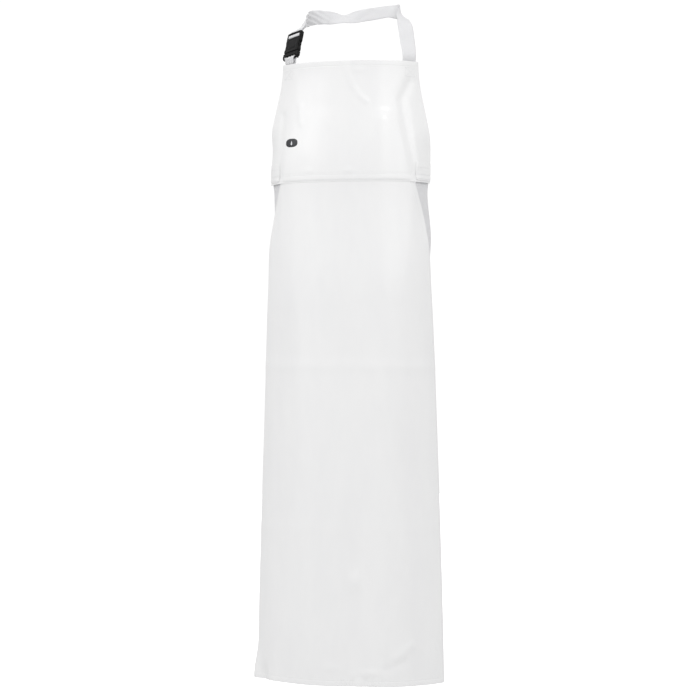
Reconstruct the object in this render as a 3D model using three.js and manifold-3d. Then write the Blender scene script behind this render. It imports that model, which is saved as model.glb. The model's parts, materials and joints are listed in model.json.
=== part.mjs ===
// Butcher apron: a bib and skirt of coated sheet, a neck strap and a waist strap with
// side-release buckles. Millimetres, +Z up, the front faces -Y, +X is the wearer's left.
// The origin is on the neck strap's inner face, where it rests on the back of the neck.
import * as THREE from 'three';
import Module from 'manifold-3d';
import { mergeVertices } from 'three/addons/utils/BufferGeometryUtils.js';

const wasm = await Module();
wasm.setup();

// ---- Driving dimensions -------------------------------------------------------------
const sheetThickness = 0.9;
const layerGap = 0.35; // between sheets, tabs, tapes and webbing that lie on each other

const bibTopZ = -122;
const bibLength = 240;
const bibTopHalfWidth = 147; // along the sheet, from the middle to the corner
const wingReach = 36; // how much wider the bib is at the waist
const wingRun = 210; // height over which the armhole edge gains that width

const seamGap = 0.8; // room between the bib and the skirt where they lap
const seamLap = 17; // height of the lap where the bib covers the skirt
const skirtLength = 1002;
const hipReach = 9; // how much wider the skirt is at the hips than the wings are
const hipRun = 130; // height over which the skirt's edge comes out to the hips
const hemFlareRate = 0.026; // width gained for each millimetre further down

const creaseTopOffset = 133; // below the bib's top edge, where the wing's crease starts
const creaseRun = 85; // height over which it grows to its full fold
const creaseTopInset = 28; // from the bib's edge to the crease, at the crease's top
const creaseTabRoom = 5; // from the crease to the webbing under the waist tab
const wingFold = THREE.MathUtils.degToRad(14);
const creaseWidth = 16;
const creaseFade = 140; // height below the bib over which the crease dies out

const neckWebbing = { width: 30, thickness: 1.6 };
const waistWebbing = { width: 38, thickness: 1.6 };
const neckStrapLap = 34; // length sewn inside the bib's corner
const cornerSpare = 0.3; // further room between the sewn webbing and the corner patch
const stubGather = 5; // how much narrower the gathered stub is
const strapCornerInset = 19; // from the bib's corner to the middle of a strap, along the sheet

const tabHeight = 38;
const tabRise = 3; // how far the waist tab's lower edge lies above the bib's lower edge
const threadSize = 0.7;
const stitchInset = 3;

const buckle = {
  side: 4, // wall beside the webbing
  thickness: 10.5,
  railLength: 9,
  baseLength: 8,
  mouthRing: 10,
  windowLength: 13,
  sleeveEnd: 11, // closed shell between the windows and the slot
  mouthGap: 0.8, // between the plug's base and the socket
  slotRoom: 0.8, // beside the webbing in its slot
  shellWall: 2.6,
  barInset: 3, // from the plug's end to its bar
  pivotInset: 2, // how far inside the base the arms bend
  ladderLength: 9.5,
  endBar: 4.5,
  barSize: 2.4,
  endBarUnderside: -0.2,
  armThickness: 3,
  armHeight: 5,
  guideWidth: 10,
  clearance: 0.3,
};
const squeezeGap = 0.6; // between an arm's root and the plug's base

const badge = { width: 28, height: 17, thickness: 0.3, arc: -112, belowTop: 160 };
const careLabel = { width: 34, height: 46, thickness: 0.4, arc: 60 };
const cornerPatch = 42;
const curveSpare = 2; // between a curved sheet's inner side and flat webbing, beyond the sag

// Heights of the sheets' edges.
const bibBottomZ = bibTopZ - bibLength;
const skirtTopZ = bibBottomZ + seamLap;
const skirtBottomZ = skirtTopZ - skirtLength;
const hipDrop = 238; // from the bib's lower edge down to the hips

// Distances along the sheets from their middle.
const wingEdgeArc = bibTopHalfWidth + wingReach;
const creaseTopArc = bibTopHalfWidth - creaseTopInset;
const creaseBottomArc = wingEdgeArc - waistWebbing.width - creaseTabRoom;
const skirtTopHalfWidth = creaseBottomArc; // the skirt's top edge runs from crease to crease
const hipFlare = wingEdgeArc + hipReach - skirtTopHalfWidth;

// ---- The surface that the sheets hang on --------------------------------------------
// At each height: arc is a half width along the sheet, turn is the sheet's heading there,
// and front is how far the middle of the sheet lies in front of the back of the neck.
const bodyStations = [
  { z: bibTopZ, arc: bibTopHalfWidth, turn: 47, front: 165 },
  { z: bibBottomZ, arc: wingEdgeArc, turn: 50, front: 188 },
  { z: bibBottomZ - hipDrop, arc: wingEdgeArc + 9, turn: 56, front: 200 },
  { z: skirtBottomZ, arc: wingEdgeArc + 34, turn: 58, front: 205 },
];
const roundness = 1.5; // 1 is a circular arc, more is flatter in the middle
const turnLimit = 1.15; // beyond this share of the half width the sheet runs straight on
const arcSteps = 24;

function smooth(t) {
  const c = Math.min(1, Math.max(0, t));
  return c * c * (3 - 2 * c);
}

function bodyAt(z) {
  const last = bodyStations.length - 1;
  let i = 0;
  while (i < last - 1 && z < bodyStations[i + 1].z) {
    i += 1;
  }
  const a = bodyStations[i];
  const b = bodyStations[i + 1];
  const t = smooth((a.z - z) / (a.z - b.z));
  return {
    arc: a.arc + (b.arc - a.arc) * t,
    turn: THREE.MathUtils.degToRad(a.turn + (b.turn - a.turn) * t),
    front: a.front + (b.front - a.front) * t,
  };
}

function creaseAt(z) {
  const t = smooth((bibTopZ - creaseTopOffset - z) / creaseRun);
  const fade = smooth((bibBottomZ - z) / creaseFade);
  return {
    arc: creaseTopArc + (creaseBottomArc - creaseTopArc) * t,
    fold: wingFold * t * (1 - fade),
  };
}

function heading(arc, z) {
  const body = bodyAt(z);
  const crease = creaseAt(z);
  const roundTurn = body.turn * Math.pow(Math.min(arc / body.arc, turnLimit), roundness);
  return roundTurn + crease.fold * smooth((arc - crease.arc) / creaseWidth + 0.5);
}

// The point at a distance along the sheet from its middle, lifted outwards from it.
function wrapPoint(arc, z, lift) {
  const side = Math.sign(arc) || 1;
  const length = Math.abs(arc);
  let x = 0;
  let y = -bodyAt(z).front;
  const step = length / arcSteps;
  for (let i = 0; i < arcSteps; i += 1) {
    const turn = heading((i + 0.5) * step, z);
    x += Math.cos(turn) * step;
    y += Math.sin(turn) * step;
  }
  const end = heading(length, z);
  x += Math.sin(end) * lift;
  y -= Math.cos(end) * lift;
  return new THREE.Vector3(side * x, y, z);
}

// How far the middle of flat webbing stands off the inner side of a sheet that curves
// across the webbing's width.
function curveSag(arc, z, width) {
  const turn = heading(arc, z);
  const middle = wrapPoint(arc, z, 0);
  const depths = [-0.5, 0.5].map((share) => {
    const edge = wrapPoint(arc + share * width, z, 0).sub(middle);
    return edge.y * Math.cos(turn) - edge.x * Math.sin(turn);
  });
  return Math.max(...depths);
}

const v = (x, y, z) => new THREE.Vector3(x, y, z);
const stop = (point, across) => ({ point, across });

// ---- Solids --------------------------------------------------------------------------
function closedGrid(rows, columns, outer, inner) {
  // Two grids of points, face to face, joined round their rims.
  const positions = [];
  const index = [];
  const at = (layer, r, c) => (layer * (rows + 1) + r) * (columns + 1) + c;
  for (const face of [outer, inner]) {
    for (let r = 0; r <= rows; r += 1) {
      for (let c = 0; c <= columns; c += 1) {
        positions.push(...face(r / rows, c / columns).toArray());
      }
    }
  }
  const quad = (p, q, s, t) => index.push(p, q, s, p, s, t);
  for (let r = 0; r < rows; r += 1) {
    for (let c = 0; c < columns; c += 1) {
      quad(at(0, r, c), at(0, r, c + 1), at(0, r + 1, c + 1), at(0, r + 1, c));
      quad(at(1, r, c), at(1, r + 1, c), at(1, r + 1, c + 1), at(1, r, c + 1));
    }
  }
  for (let c = 0; c < columns; c += 1) {
    quad(at(0, 0, c), at(1, 0, c), at(1, 0, c + 1), at(0, 0, c + 1));
    quad(at(0, rows, c), at(0, rows, c + 1), at(1, rows, c + 1), at(1, rows, c));
  }
  for (let r = 0; r < rows; r += 1) {
    quad(at(0, r, 0), at(0, r + 1, 0), at(1, r + 1, 0), at(1, r, 0));
    quad(at(0, r, columns), at(1, r, columns), at(1, r + 1, columns), at(0, r + 1, columns));
  }
  const geometry = new THREE.BufferGeometry();
  geometry.setAttribute('position', new THREE.Float32BufferAttribute(positions, 3));
  geometry.setIndex(index);
  return facingOut(geometry);
}

function facingOut(geometry) {
  const solid = toManifold(geometry, false);
  const outward = solid.volume() > 0;
  if (outward) {
    return geometry;
  }
  const index = geometry.index.array;
  for (let i = 0; i < index.length; i += 3) {
    const first = index[i];
    index[i] = index[i + 1];
    index[i + 1] = first;
  }
  return geometry;
}

function toManifold(geometry, merge = true) {
  const plain = geometry.clone();
  plain.deleteAttribute('normal');
  plain.deleteAttribute('uv');
  const joined = merge || !plain.index ? mergeVertices(plain, 1e-4) : plain;
  const mesh = new wasm.Mesh({
    numProp: 3,
    vertProperties: new Float32Array(joined.attributes.position.array),
    triVerts: new Uint32Array(joined.index.array),
  });
  return new wasm.Manifold(mesh);
}

function fromManifold(solid) {
  const mesh = solid.getMesh();
  const geometry = new THREE.BufferGeometry();
  geometry.setAttribute('position', new THREE.Float32BufferAttribute(mesh.vertProperties, 3));
  geometry.setIndex(Array.from(mesh.triVerts));
  return geometry;
}

// A patch of sheet between two heights, lifted off the body surface by `lift`.
function sheetPiece({ rows, columns, from, to, topZ, bottomZ, lift, thickness }) {
  const place = (extra) => (down, u) => {
    const z = topZ + (bottomZ - topZ) * down;
    const arc = from(z) + (to(z) - from(z)) * u;
    return wrapPoint(arc, z, lift + extra);
  };
  return closedGrid(rows, columns, place(thickness), place(0));
}

// A flat strap along a route: each stop has a point and the direction of its width.
function ribbon(stops, width, thickness, steps) {
  const line = new THREE.CatmullRomCurve3(stops.map((one) => one.point), false, 'centripetal');
  const frames = [];
  const last = stops.length - 1;
  for (let i = 0; i <= steps; i += 1) {
    const t = (i / steps) * last;
    const from = Math.min(Math.floor(t), last - 1);
    const across = stops[from].across.clone().lerp(stops[from + 1].across, smooth(t - from));
    const along = line.getTangent(i / steps);
    across.addScaledVector(along, -across.dot(along)).normalize();
    const normal = new THREE.Vector3().crossVectors(along, across).normalize();
    frames.push({ point: line.getPoint(i / steps), across, normal });
  }
  const place = (height) => (share, u) => {
    const frame = frames[Math.round(share * steps)];
    return frame.point.clone()
      .addScaledVector(frame.across, (u - 0.5) * width)
      .addScaledVector(frame.normal, height);
  };
  return closedGrid(steps, 1, place(thickness / 2), place(-thickness / 2));
}

const group = new THREE.Group();

function addMesh(name, geometry, finish) {
  const material = new THREE.MeshStandardMaterial(finish);
  const mesh = new THREE.Mesh(geometry, material);
  mesh.name = name;
  group.add(mesh);
  return mesh;
}

const coatedSheet = { color: 0xf0f0f0, roughness: 0.28, metalness: 0 };
const webbingFinish = { color: 0xdcdcdc, roughness: 0.8, metalness: 0 };
const buckleFinish = { color: 0x202020, roughness: 0.45, metalness: 0 };
const threadFinish = { color: 0xe8e8e8, roughness: 0.7, metalness: 0 };
const badgeFinish = { color: 0x24262b, roughness: 0.4, metalness: 0 };

// ---- Bib and skirt -------------------------------------------------------------------
const bibLift = sheetThickness + seamGap; // the bib lies over the skirt at the seam

function bibHalfWidth(z) {
  return bibTopHalfWidth + wingReach * smooth((bibTopZ - z) / wingRun);
}

function skirtHalfWidth(z) {
  const drop = Math.max(0, bibBottomZ - z);
  return skirtTopHalfWidth + hipFlare * (1 - Math.exp(-drop / hipRun)) + hemFlareRate * drop;
}

function addPanels() {
  addMesh('bib_panel', sheetPiece({
    rows: 14,
    columns: 30,
    from: (z) => -bibHalfWidth(z),
    to: bibHalfWidth,
    topZ: bibTopZ,
    bottomZ: bibBottomZ,
    lift: bibLift,
    thickness: sheetThickness,
  }), coatedSheet);
  addMesh('skirt_panel', sheetPiece({
    rows: 22,
    columns: 28,
    from: (z) => -skirtHalfWidth(z),
    to: skirtHalfWidth,
    topZ: skirtTopZ,
    bottomZ: skirtBottomZ,
    lift: 0,
    thickness: sheetThickness,
  }), coatedSheet);
}

function addSeamRows() {
  const rowLift = bibLift + sheetThickness + layerGap;
  const half = skirtTopHalfWidth - 12;
  const rows = { seam_stitch_lower: stitchInset, seam_stitch_upper: seamLap - stitchInset };
  for (const [name, rise] of Object.entries(rows)) {
    addMesh(name, sheetPiece({
      rows: 1,
      columns: 24,
      from: () => -half,
      to: () => half,
      topZ: bibBottomZ + rise + threadSize / 2,
      bottomZ: bibBottomZ + rise - threadSize / 2,
      lift: rowLift,
      thickness: threadSize,
    }), threadFinish);
  }
}

// ---- Waist tabs, badge, label and corner patches ---------------------------------------
const tabBottomZ = bibBottomZ + tabRise;
const tabMiddleArc = wingEdgeArc - waistWebbing.width / 2 - 1;
const tabSag = curveSag(tabMiddleArc, tabBottomZ, waistWebbing.width);
const waistStrapLift = bibLift - layerGap - tabSag - curveSpare - waistWebbing.thickness / 2;
const tabLift = bibLift + sheetThickness + layerGap;

function flatPatch(middleArc, width, topZ, height, lift, thickness) {
  return sheetPiece({
    rows: 3,
    columns: 8,
    from: () => middleArc - width / 2,
    to: () => middleArc + width / 2,
    topZ,
    bottomZ: topZ - height,
    lift,
    thickness,
  });
}

function addWaistTabs() {
  for (const [side, name] of [[1, 'left'], [-1, 'right']]) {
    const middle = side * tabMiddleArc;
    const width = waistWebbing.width + 2;
    const topZ = tabBottomZ + tabHeight;
    addMesh(`${name}_waist_tab`,
      flatPatch(middle, width, topZ, tabHeight, tabLift, sheetThickness), coatedSheet);
    const threadLift = tabLift + sheetThickness + layerGap;
    addMesh(`${name}_tab_stitches`,
      flatPatch(middle, width - 6, tabBottomZ + 12, 9, threadLift, threadSize), threadFinish);
  }
}

function addTrims() {
  const outerLift = bibLift + sheetThickness + layerGap;
  addMesh('chest_badge',
    flatPatch(badge.arc, badge.width, bibTopZ - badge.belowTop + badge.height / 2,
      badge.height, outerLift, badge.thickness), badgeFinish);
  addMesh('care_label',
    flatPatch(careLabel.arc, careLabel.width, skirtTopZ - 1, careLabel.height,
      -careLabel.thickness - layerGap, careLabel.thickness), threadFinish);
  for (const [side, name] of [[1, 'left'], [-1, 'right']]) {
    const innerLift = bibLift - sheetThickness - layerGap;
    const middle = side * (bibTopHalfWidth - cornerPatch / 2 - 3);
    addMesh(`${name}_corner_patch`,
      flatPatch(middle, cornerPatch, bibTopZ - 3, cornerPatch, innerLift, sheetThickness),
      coatedSheet);
  }
}

// ---- Side-release buckles ---------------------------------------------------------------
// A buckle's own frame: x across its width, y from the plug to the socket, z out of its face.
function placed(geometry, seat) {
  const matrix = new THREE.Matrix4().makeBasis(seat.across, seat.along, seat.normal);
  matrix.setPosition(seat.origin);
  return geometry.clone().applyMatrix4(matrix);
}

function roundedPlate(halfWidth, fromY, toY, height, corner) {
  // A plate with rounded corners in plan and softened long edges.
  const shape = new THREE.Shape();
  shape.moveTo(-halfWidth + corner, fromY);
  shape.lineTo(halfWidth - corner, fromY);
  shape.quadraticCurveTo(halfWidth, fromY, halfWidth, fromY + corner);
  shape.lineTo(halfWidth, toY - corner);
  shape.quadraticCurveTo(halfWidth, toY, halfWidth - corner, toY);
  shape.lineTo(-halfWidth + corner, toY);
  shape.quadraticCurveTo(-halfWidth, toY, -halfWidth, toY - corner);
  shape.lineTo(-halfWidth, fromY + corner);
  shape.quadraticCurveTo(-halfWidth, fromY, -halfWidth + corner, fromY);
  const plate = new THREE.ExtrudeGeometry(shape, {
    depth: height,
    bevelEnabled: false,
    curveSegments: 4,
  });
  plate.translate(0, 0, -height / 2);
  return plate;
}

function block(x0, x1, y0, y1, z0, z1) {
  const box = new THREE.BoxGeometry(x1 - x0, y1 - y0, z1 - z0);
  box.translate((x0 + x1) / 2, (y0 + y1) / 2, (z0 + z1) / 2);
  return toManifold(box);
}

function buckleLayout(webbing) {
  const half = webbing.width / 2 + buckle.side;
  const baseStart = buckle.railLength;
  const mouth = baseStart + buckle.baseLength + buckle.mouthGap;
  const windowStart = mouth + buckle.mouthRing;
  const windowEnd = windowStart + buckle.windowLength;
  const ladderStart = windowEnd + buckle.sleeveEnd;
  const ladderEnd = ladderStart + buckle.ladderLength;
  return {
    half,
    baseStart,
    mouth,
    windowStart,
    windowEnd,
    ladderStart,
    ladderEnd,
    end: ladderEnd + buckle.endBar,
    slotHalf: webbing.width / 2 + buckle.slotRoom,
    cavityHalf: half - buckle.shellWall,
    pivotY: baseStart + buckle.baseLength - buckle.pivotInset,
    barY: buckle.barInset + buckle.barSize / 2,
    ladderBarY: (ladderStart + ladderEnd) / 2,
  };
}

function socketSolid(layout) {
  const { half, mouth, windowStart, windowEnd, ladderStart, ladderEnd, end } = layout;
  const reach = buckle.thickness;
  const cavityHeight = buckle.armHeight + 2 * buckle.clearance;
  let body = toManifold(roundedPlate(half, mouth, end, buckle.thickness, 3));
  body = body.subtract(block(-layout.cavityHalf, layout.cavityHalf, mouth - 1, windowEnd + 1,
    -cavityHeight / 2, cavityHeight / 2));
  for (const side of [-1, 1]) {
    const inner = side * (layout.cavityHalf - 1);
    const outer = side * (half + 1);
    body = body.subtract(block(Math.min(inner, outer), Math.max(inner, outer), windowStart,
      windowEnd, -cavityHeight / 2, cavityHeight / 2));
  }
  body = body.subtract(block(-layout.slotHalf, layout.slotHalf, ladderStart, ladderEnd,
    -reach, reach));
  const barHalf = buckle.barSize / 2;
  body = body.add(block(-layout.slotHalf - 1, layout.slotHalf + 1, layout.ladderBarY - barHalf,
    layout.ladderBarY + barHalf, -barHalf, barHalf));
  // The end bar is thinner at the back, so the webbing passes under it.
  body = body.subtract(block(-layout.slotHalf, layout.slotHalf, ladderEnd - 0.1, end + 1,
    -reach, buckle.endBarUnderside));
  return fromManifold(body);
}

function plugSolid(layout) {
  const { half, baseStart } = layout;
  const baseEnd = baseStart + buckle.baseLength;
  let body = toManifold(roundedPlate(half + 1, 0, baseEnd, buckle.thickness - 1.5, 2.5));
  body = body.subtract(block(-layout.slotHalf, layout.slotHalf, -1, baseStart,
    -buckle.thickness, buckle.thickness));
  const barHalf = buckle.barSize / 2;
  body = body.add(block(-layout.slotHalf - 1, layout.slotHalf + 1, layout.barY - barHalf,
    layout.barY + barHalf, -barHalf, barHalf));
  const guide = block(-buckle.guideWidth / 2, buckle.guideWidth / 2, baseEnd - 1,
    layout.windowEnd, -buckle.armHeight / 2, buckle.armHeight / 2);
  return fromManifold(body.add(guide));
}

function armSolid(layout, side) {
  // A springy arm with a lobe that fills the socket's side window.
  const outer = layout.cavityHalf - buckle.clearance;
  const lobe = layout.half - 0.2;
  const inner = outer - buckle.armThickness;
  const root = layout.baseStart + buckle.baseLength + squeezeGap;
  const shape = new THREE.Shape();
  shape.moveTo(inner, root);
  shape.lineTo(outer, root);
  shape.lineTo(outer, layout.windowStart + buckle.clearance);
  shape.lineTo(lobe, layout.windowStart + buckle.clearance);
  shape.quadraticCurveTo(lobe, layout.windowEnd - 3, outer, layout.windowEnd - buckle.clearance);
  shape.lineTo(inner, layout.windowEnd - buckle.clearance);
  shape.lineTo(inner, root);
  const arm = new THREE.ExtrudeGeometry(shape, {
    depth: buckle.armHeight,
    bevelEnabled: false,
    curveSegments: 5,
  });
  arm.translate(0, 0, -buckle.armHeight / 2);
  if (side < 0) {
    arm.rotateY(Math.PI);
  }
  return arm;
}

function addBuckle(prefix, webbing, seat) {
  const layout = buckleLayout(webbing);
  addMesh(`${prefix}_buckle_socket`, placed(socketSolid(layout), seat), buckleFinish);
  addMesh(`${prefix}_buckle_plug`, placed(plugSolid(layout), seat), buckleFinish);
  addMesh(`${prefix}_buckle_arm_left`, placed(armSolid(layout, 1), seat), buckleFinish);
  addMesh(`${prefix}_buckle_arm_right`, placed(armSolid(layout, -1), seat), buckleFinish);
  return layout;
}

function seatPoint(seat, x, y, z) {
  return seat.origin.clone()
    .addScaledVector(seat.across, x)
    .addScaledVector(seat.along, y)
    .addScaledVector(seat.normal, z);
}

function makeSeat(origin, along, acrossHint) {
  const up = along.clone().normalize();
  const across = acrossHint.clone().addScaledVector(up, -acrossHint.dot(up)).normalize();
  const normal = new THREE.Vector3().crossVectors(across, up);
  return { origin, along: up, across, normal };
}

// Stitches on the bib's face, over the webbing sewn inside its corner.
function addCornerStitches(name, arc, lift, webbing) {
  const turn = heading(Math.abs(arc), bibTopZ);
  const across = v(Math.cos(turn), Math.sign(arc) * Math.sin(turn), 0);
  const ends = [bibTopZ - stitchInset - 2, bibTopZ - neckStrapLap + stitchInset + 2];
  const stops = ends.map((z) => stop(wrapPoint(arc, z, lift), across));
  addMesh(name, ribbon(stops, webbing.width - 2 * stitchInset, threadSize, 4), threadFinish);
}

// ---- Neck strap ------------------------------------------------------------------------
// The buckle lies on the wearer's right shoulder, over the bib's right corner.
const cornerArc = bibTopHalfWidth - strapCornerInset;
const leftCorner = wrapPoint(cornerArc, bibTopZ, 0);
const rightCorner = wrapPoint(-cornerArc, bibTopZ, 0);
const neckSeat = makeSeat(rightCorner.clone().add(v(2, -2, 9)), v(0.087, 0.433, 0.896),
  v(0.846, -0.509, 0.165));
const neckLayout = addBuckle('neck', neckWebbing, neckSeat);

function barSkin(webbing) {
  // From a bar's middle to the middle of webbing that turns round it.
  return buckle.barSize * Math.SQRT1_2 + layerGap + webbing.thickness / 2;
}

// Half a turn of webbing round a bar, from its face side (1) or its back (-1).
function barTurn(seat, barY, skin, side) {
  const stops = [];
  for (let quarter = 0; quarter <= 4; quarter += 1) {
    const angle = side * (Math.PI / 2 - quarter * Math.PI / 4);
    const point = seatPoint(seat, 0, barY + skin * Math.cos(angle), skin * Math.sin(angle));
    stops.push(stop(point, seat.across));
  }
  return stops;
}

function ladderWrap(seat, layout, webbing, tail) {
  // Tail under the end bar, up over the ladder bar and back out, from the free end on.
  const skin = barSkin(webbing);
  const under = buckle.endBarUnderside - layerGap - webbing.thickness / 2;
  const lower = under - webbing.thickness - layerGap;
  const front = layout.ladderBarY - skin;
  const back = layout.ladderBarY + skin;
  const at = (y, z) => stop(seatPoint(seat, 0, y, z), seat.across);
  return [
    at(layout.end + tail, lower - 0.6),
    at(layout.end + 1, lower - 0.1),
    at(layout.ladderEnd - 1, lower - 0.1),
    at(layout.ladderBarY, lower),
    at(front + 0.8, lower + 0.9),
    at(front, 0),
    at(layout.ladderBarY - skin * 0.7, skin * 0.7),
    at(layout.ladderBarY, skin),
    at(layout.ladderBarY + skin * 0.7, skin * 0.7),
    at(back, 0),
    at(back + 1.1, under + 0.1),
    at(back + 3, under),
    at(layout.end + 2, under),
    at(layout.end + 7, under),
  ];
}

const stitchLift = bibLift + sheetThickness + layerGap + threadSize / 2;

// The middle of the webbing sewn inside the corner patch, one layer or a second one under it.
function sewnLift(layer) {
  const patchLift = bibLift - sheetThickness - layerGap;
  const sag = curveSag(cornerArc, bibTopZ, neckWebbing.width);
  const first = patchLift - layerGap - sag - cornerSpare - neckWebbing.thickness / 2;
  return first - layer * (neckWebbing.thickness + layerGap);
}

function neckRoute() {
  const sewn = (z) => wrapPoint(cornerArc, z, sewnLift(0));
  const cornerTurn = heading(cornerArc, bibTopZ);
  const alongSheet = v(-Math.cos(cornerTurn), -Math.sin(cornerTurn), 0);
  const overCorner = (x, y, z) => leftCorner.clone().add(v(x, y, z));
  return [
    stop(seatPoint(neckSeat, -11, 94, -18.3), v(0.8, -0.45, 0.35)),
    stop(seatPoint(neckSeat, -19, 114.5, -30.5), v(0.55, -0.45, 0.7)),
    stop(v(-106, -33, -16), v(0.25, -0.1, 0.96)),
    stop(v(-95, -14, -7), v(0.05, 0.35, 0.93)),
    stop(v(-70, -3, -5), v(0, 0.45, 0.89)),
    stop(v(-35, 0.5, -7), v(0, 0.4, 0.92)),
    stop(v(0, 1.2, -4), v(0, 0.3, 0.95)),
    stop(v(36, -2, 0), v(0, 0.4, 0.92)),
    stop(v(66, -12, 1), v(0.1, 0.45, 0.88)),
    stop(v(86, -30, -5), v(-0.35, 0.25, 0.9)),
    stop(v(97, -54, -23), v(-0.75, 0.1, 0.55)),
    stop(overCorner(-16, 54, 76), v(-0.95, -0.1, 0.2)),
    stop(overCorner(-9, 31, 46), v(-0.95, -0.3, 0.1)),
    stop(sewn(bibTopZ + 12), alongSheet),
    stop(sewn(bibTopZ - 4), alongSheet),
    stop(sewn(bibTopZ - neckStrapLap), alongSheet),
  ];
}

function addNeckStrap() {
  const route = [...ladderWrap(neckSeat, neckLayout, neckWebbing, 40), ...neckRoute()];
  addMesh('neck_strap', ribbon(route, neckWebbing.width, neckWebbing.thickness, 170),
    webbingFinish);
  addCornerStitches('neck_strap_stitches', cornerArc, stitchLift, neckWebbing);
}

function addNeckStub() {
  // A folded length of webbing: both ends sewn inside the bib's corner, round the plug's bar.
  const skin = barSkin(neckWebbing) + layerGap;
  const barY = neckLayout.barY;
  const turn = heading(cornerArc, bibTopZ);
  const alongSheet = v(Math.cos(turn), -Math.sin(turn), 0);
  const at = (y, z) => stop(seatPoint(neckSeat, 0, y, z), neckSeat.across);
  const route = [
    stop(wrapPoint(-cornerArc, bibTopZ - neckStrapLap, sewnLift(0)), alongSheet),
    stop(wrapPoint(-cornerArc, bibTopZ - 3, sewnLift(0)), alongSheet),
    at(barY - 2, skin),
    ...barTurn(neckSeat, barY, skin, 1),
    at(barY - 2, -skin),
    stop(wrapPoint(-cornerArc, bibTopZ - 3, sewnLift(1)), alongSheet),
    stop(wrapPoint(-cornerArc, bibTopZ - neckStrapLap, sewnLift(1)), alongSheet),
  ];
  addMesh('neck_stub', ribbon(route, neckWebbing.width - stubGather, neckWebbing.thickness, 60),
    webbingFinish);
  addCornerStitches('neck_stub_stitches', -cornerArc, stitchLift, neckWebbing);
}

// ---- Waist strap -------------------------------------------------------------------------
// It hangs from the two tabs in a loop behind the skirt, with its buckle at the lowest point.
const loopDrop = 393; // from the tabs down to the buckle
const loopDepth = 59; // how far the buckle hangs behind the tabs
const tabPoint = wrapPoint(tabMiddleArc, tabBottomZ, waistStrapLift);
const loopPoint = (across, back, drop) => v(across, tabPoint.y + back, tabPoint.z - drop);
const halfBuckle = buckleLayout(waistWebbing).end / 2;
const waistSeat = makeSeat(loopPoint(halfBuckle, loopDepth, loopDrop), v(-1, 0, 0), v(0, -1, 0));
const waistLayout = addBuckle('waist', waistWebbing, waistSeat);

function waistSide(side) {
  // From the middle of the loop up to the tab, for the wearer's left (+1) or right (-1).
  const arc = side * tabMiddleArc;
  const turn = heading(tabMiddleArc, tabBottomZ);
  const alongWing = v(-side * Math.cos(turn), -Math.sin(turn), 0);
  const front = v(0, -1, 0);
  const at = (share, back, rise) => loopPoint(side * tabPoint.x * share, back, loopDrop - rise);
  return [
    stop(at(0.45, loopDepth - 1, 7), front),
    stop(at(0.67, loopDepth - 3, 32), front),
    stop(at(0.85, loopDepth - 6, 72), front),
    stop(at(0.963, loopDepth - 12, 132), front),
    stop(at(1.017, loopDepth - 22, 207), v(-side * 0.15, -0.98, 0)),
    stop(at(1.038, loopDepth - 37, 292), v(-side * 0.35, -0.94, 0)),
    stop(wrapPoint(arc, bibBottomZ - 26, waistStrapLift - 6), alongWing),
    stop(wrapPoint(arc, tabBottomZ, waistStrapLift), alongWing),
    stop(wrapPoint(arc, tabBottomZ + tabHeight - 6, waistStrapLift), alongWing),
  ];
}

function addWaistStraps() {
  const { width, thickness } = waistWebbing;
  const ladder = ladderWrap(waistSeat, waistLayout, waistWebbing, 26);
  addMesh('waist_strap_right', ribbon([...ladder, ...waistSide(-1)], width, thickness, 120),
    webbingFinish);
  const skin = barSkin(waistWebbing);
  const barY = waistLayout.barY;
  const at = (y, z) => stop(seatPoint(waistSeat, 0, y, z), waistSeat.across);
  const foldBack = [
    at(-24, -skin),
    at(-8, -skin),
    ...barTurn(waistSeat, barY, skin, -1),
    at(-8, skin),
  ];
  addMesh('waist_strap_left', ribbon([...foldBack, ...waistSide(1)], width, thickness, 120),
    webbingFinish);
}

addPanels();
addSeamRows();
addWaistTabs();
addTrims();
addNeckStrap();
addNeckStub();
addWaistStraps();

export default group;
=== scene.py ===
"""Butcher apron: the looks of each piece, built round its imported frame.

Metres, +Z up, the front faces -Y and +X is the wearer's left. The origin is on the neck
strap's inner face, where it rests on the back of the neck.
"""
import json
import math

import bpy
import numpy as np
from mathutils import Matrix, Vector


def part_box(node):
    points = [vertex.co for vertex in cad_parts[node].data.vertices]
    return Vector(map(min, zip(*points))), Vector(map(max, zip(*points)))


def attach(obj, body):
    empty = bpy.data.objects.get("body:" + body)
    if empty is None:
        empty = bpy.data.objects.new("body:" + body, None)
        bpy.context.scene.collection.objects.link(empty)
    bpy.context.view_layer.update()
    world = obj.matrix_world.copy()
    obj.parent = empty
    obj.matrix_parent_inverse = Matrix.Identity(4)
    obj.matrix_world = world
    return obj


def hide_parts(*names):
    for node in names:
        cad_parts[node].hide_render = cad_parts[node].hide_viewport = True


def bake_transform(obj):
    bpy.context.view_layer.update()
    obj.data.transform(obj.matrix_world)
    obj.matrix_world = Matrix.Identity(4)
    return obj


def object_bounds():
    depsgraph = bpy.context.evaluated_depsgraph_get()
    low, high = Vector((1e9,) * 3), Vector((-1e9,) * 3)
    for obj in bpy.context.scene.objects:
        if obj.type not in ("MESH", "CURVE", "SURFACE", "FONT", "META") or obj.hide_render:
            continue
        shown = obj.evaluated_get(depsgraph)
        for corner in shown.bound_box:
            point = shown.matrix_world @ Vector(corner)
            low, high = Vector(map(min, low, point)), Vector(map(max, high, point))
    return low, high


bl_info = {
    "name": "Butcher apron",
    "version": (1, 0, 0),
    "blender": (4, 5, 0),
    "location": "View3D > Sidebar > Apron",
    "description": "Builds a coated butcher apron with its straps, buckles and studio",
    "category": "Mesh",
}

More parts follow.
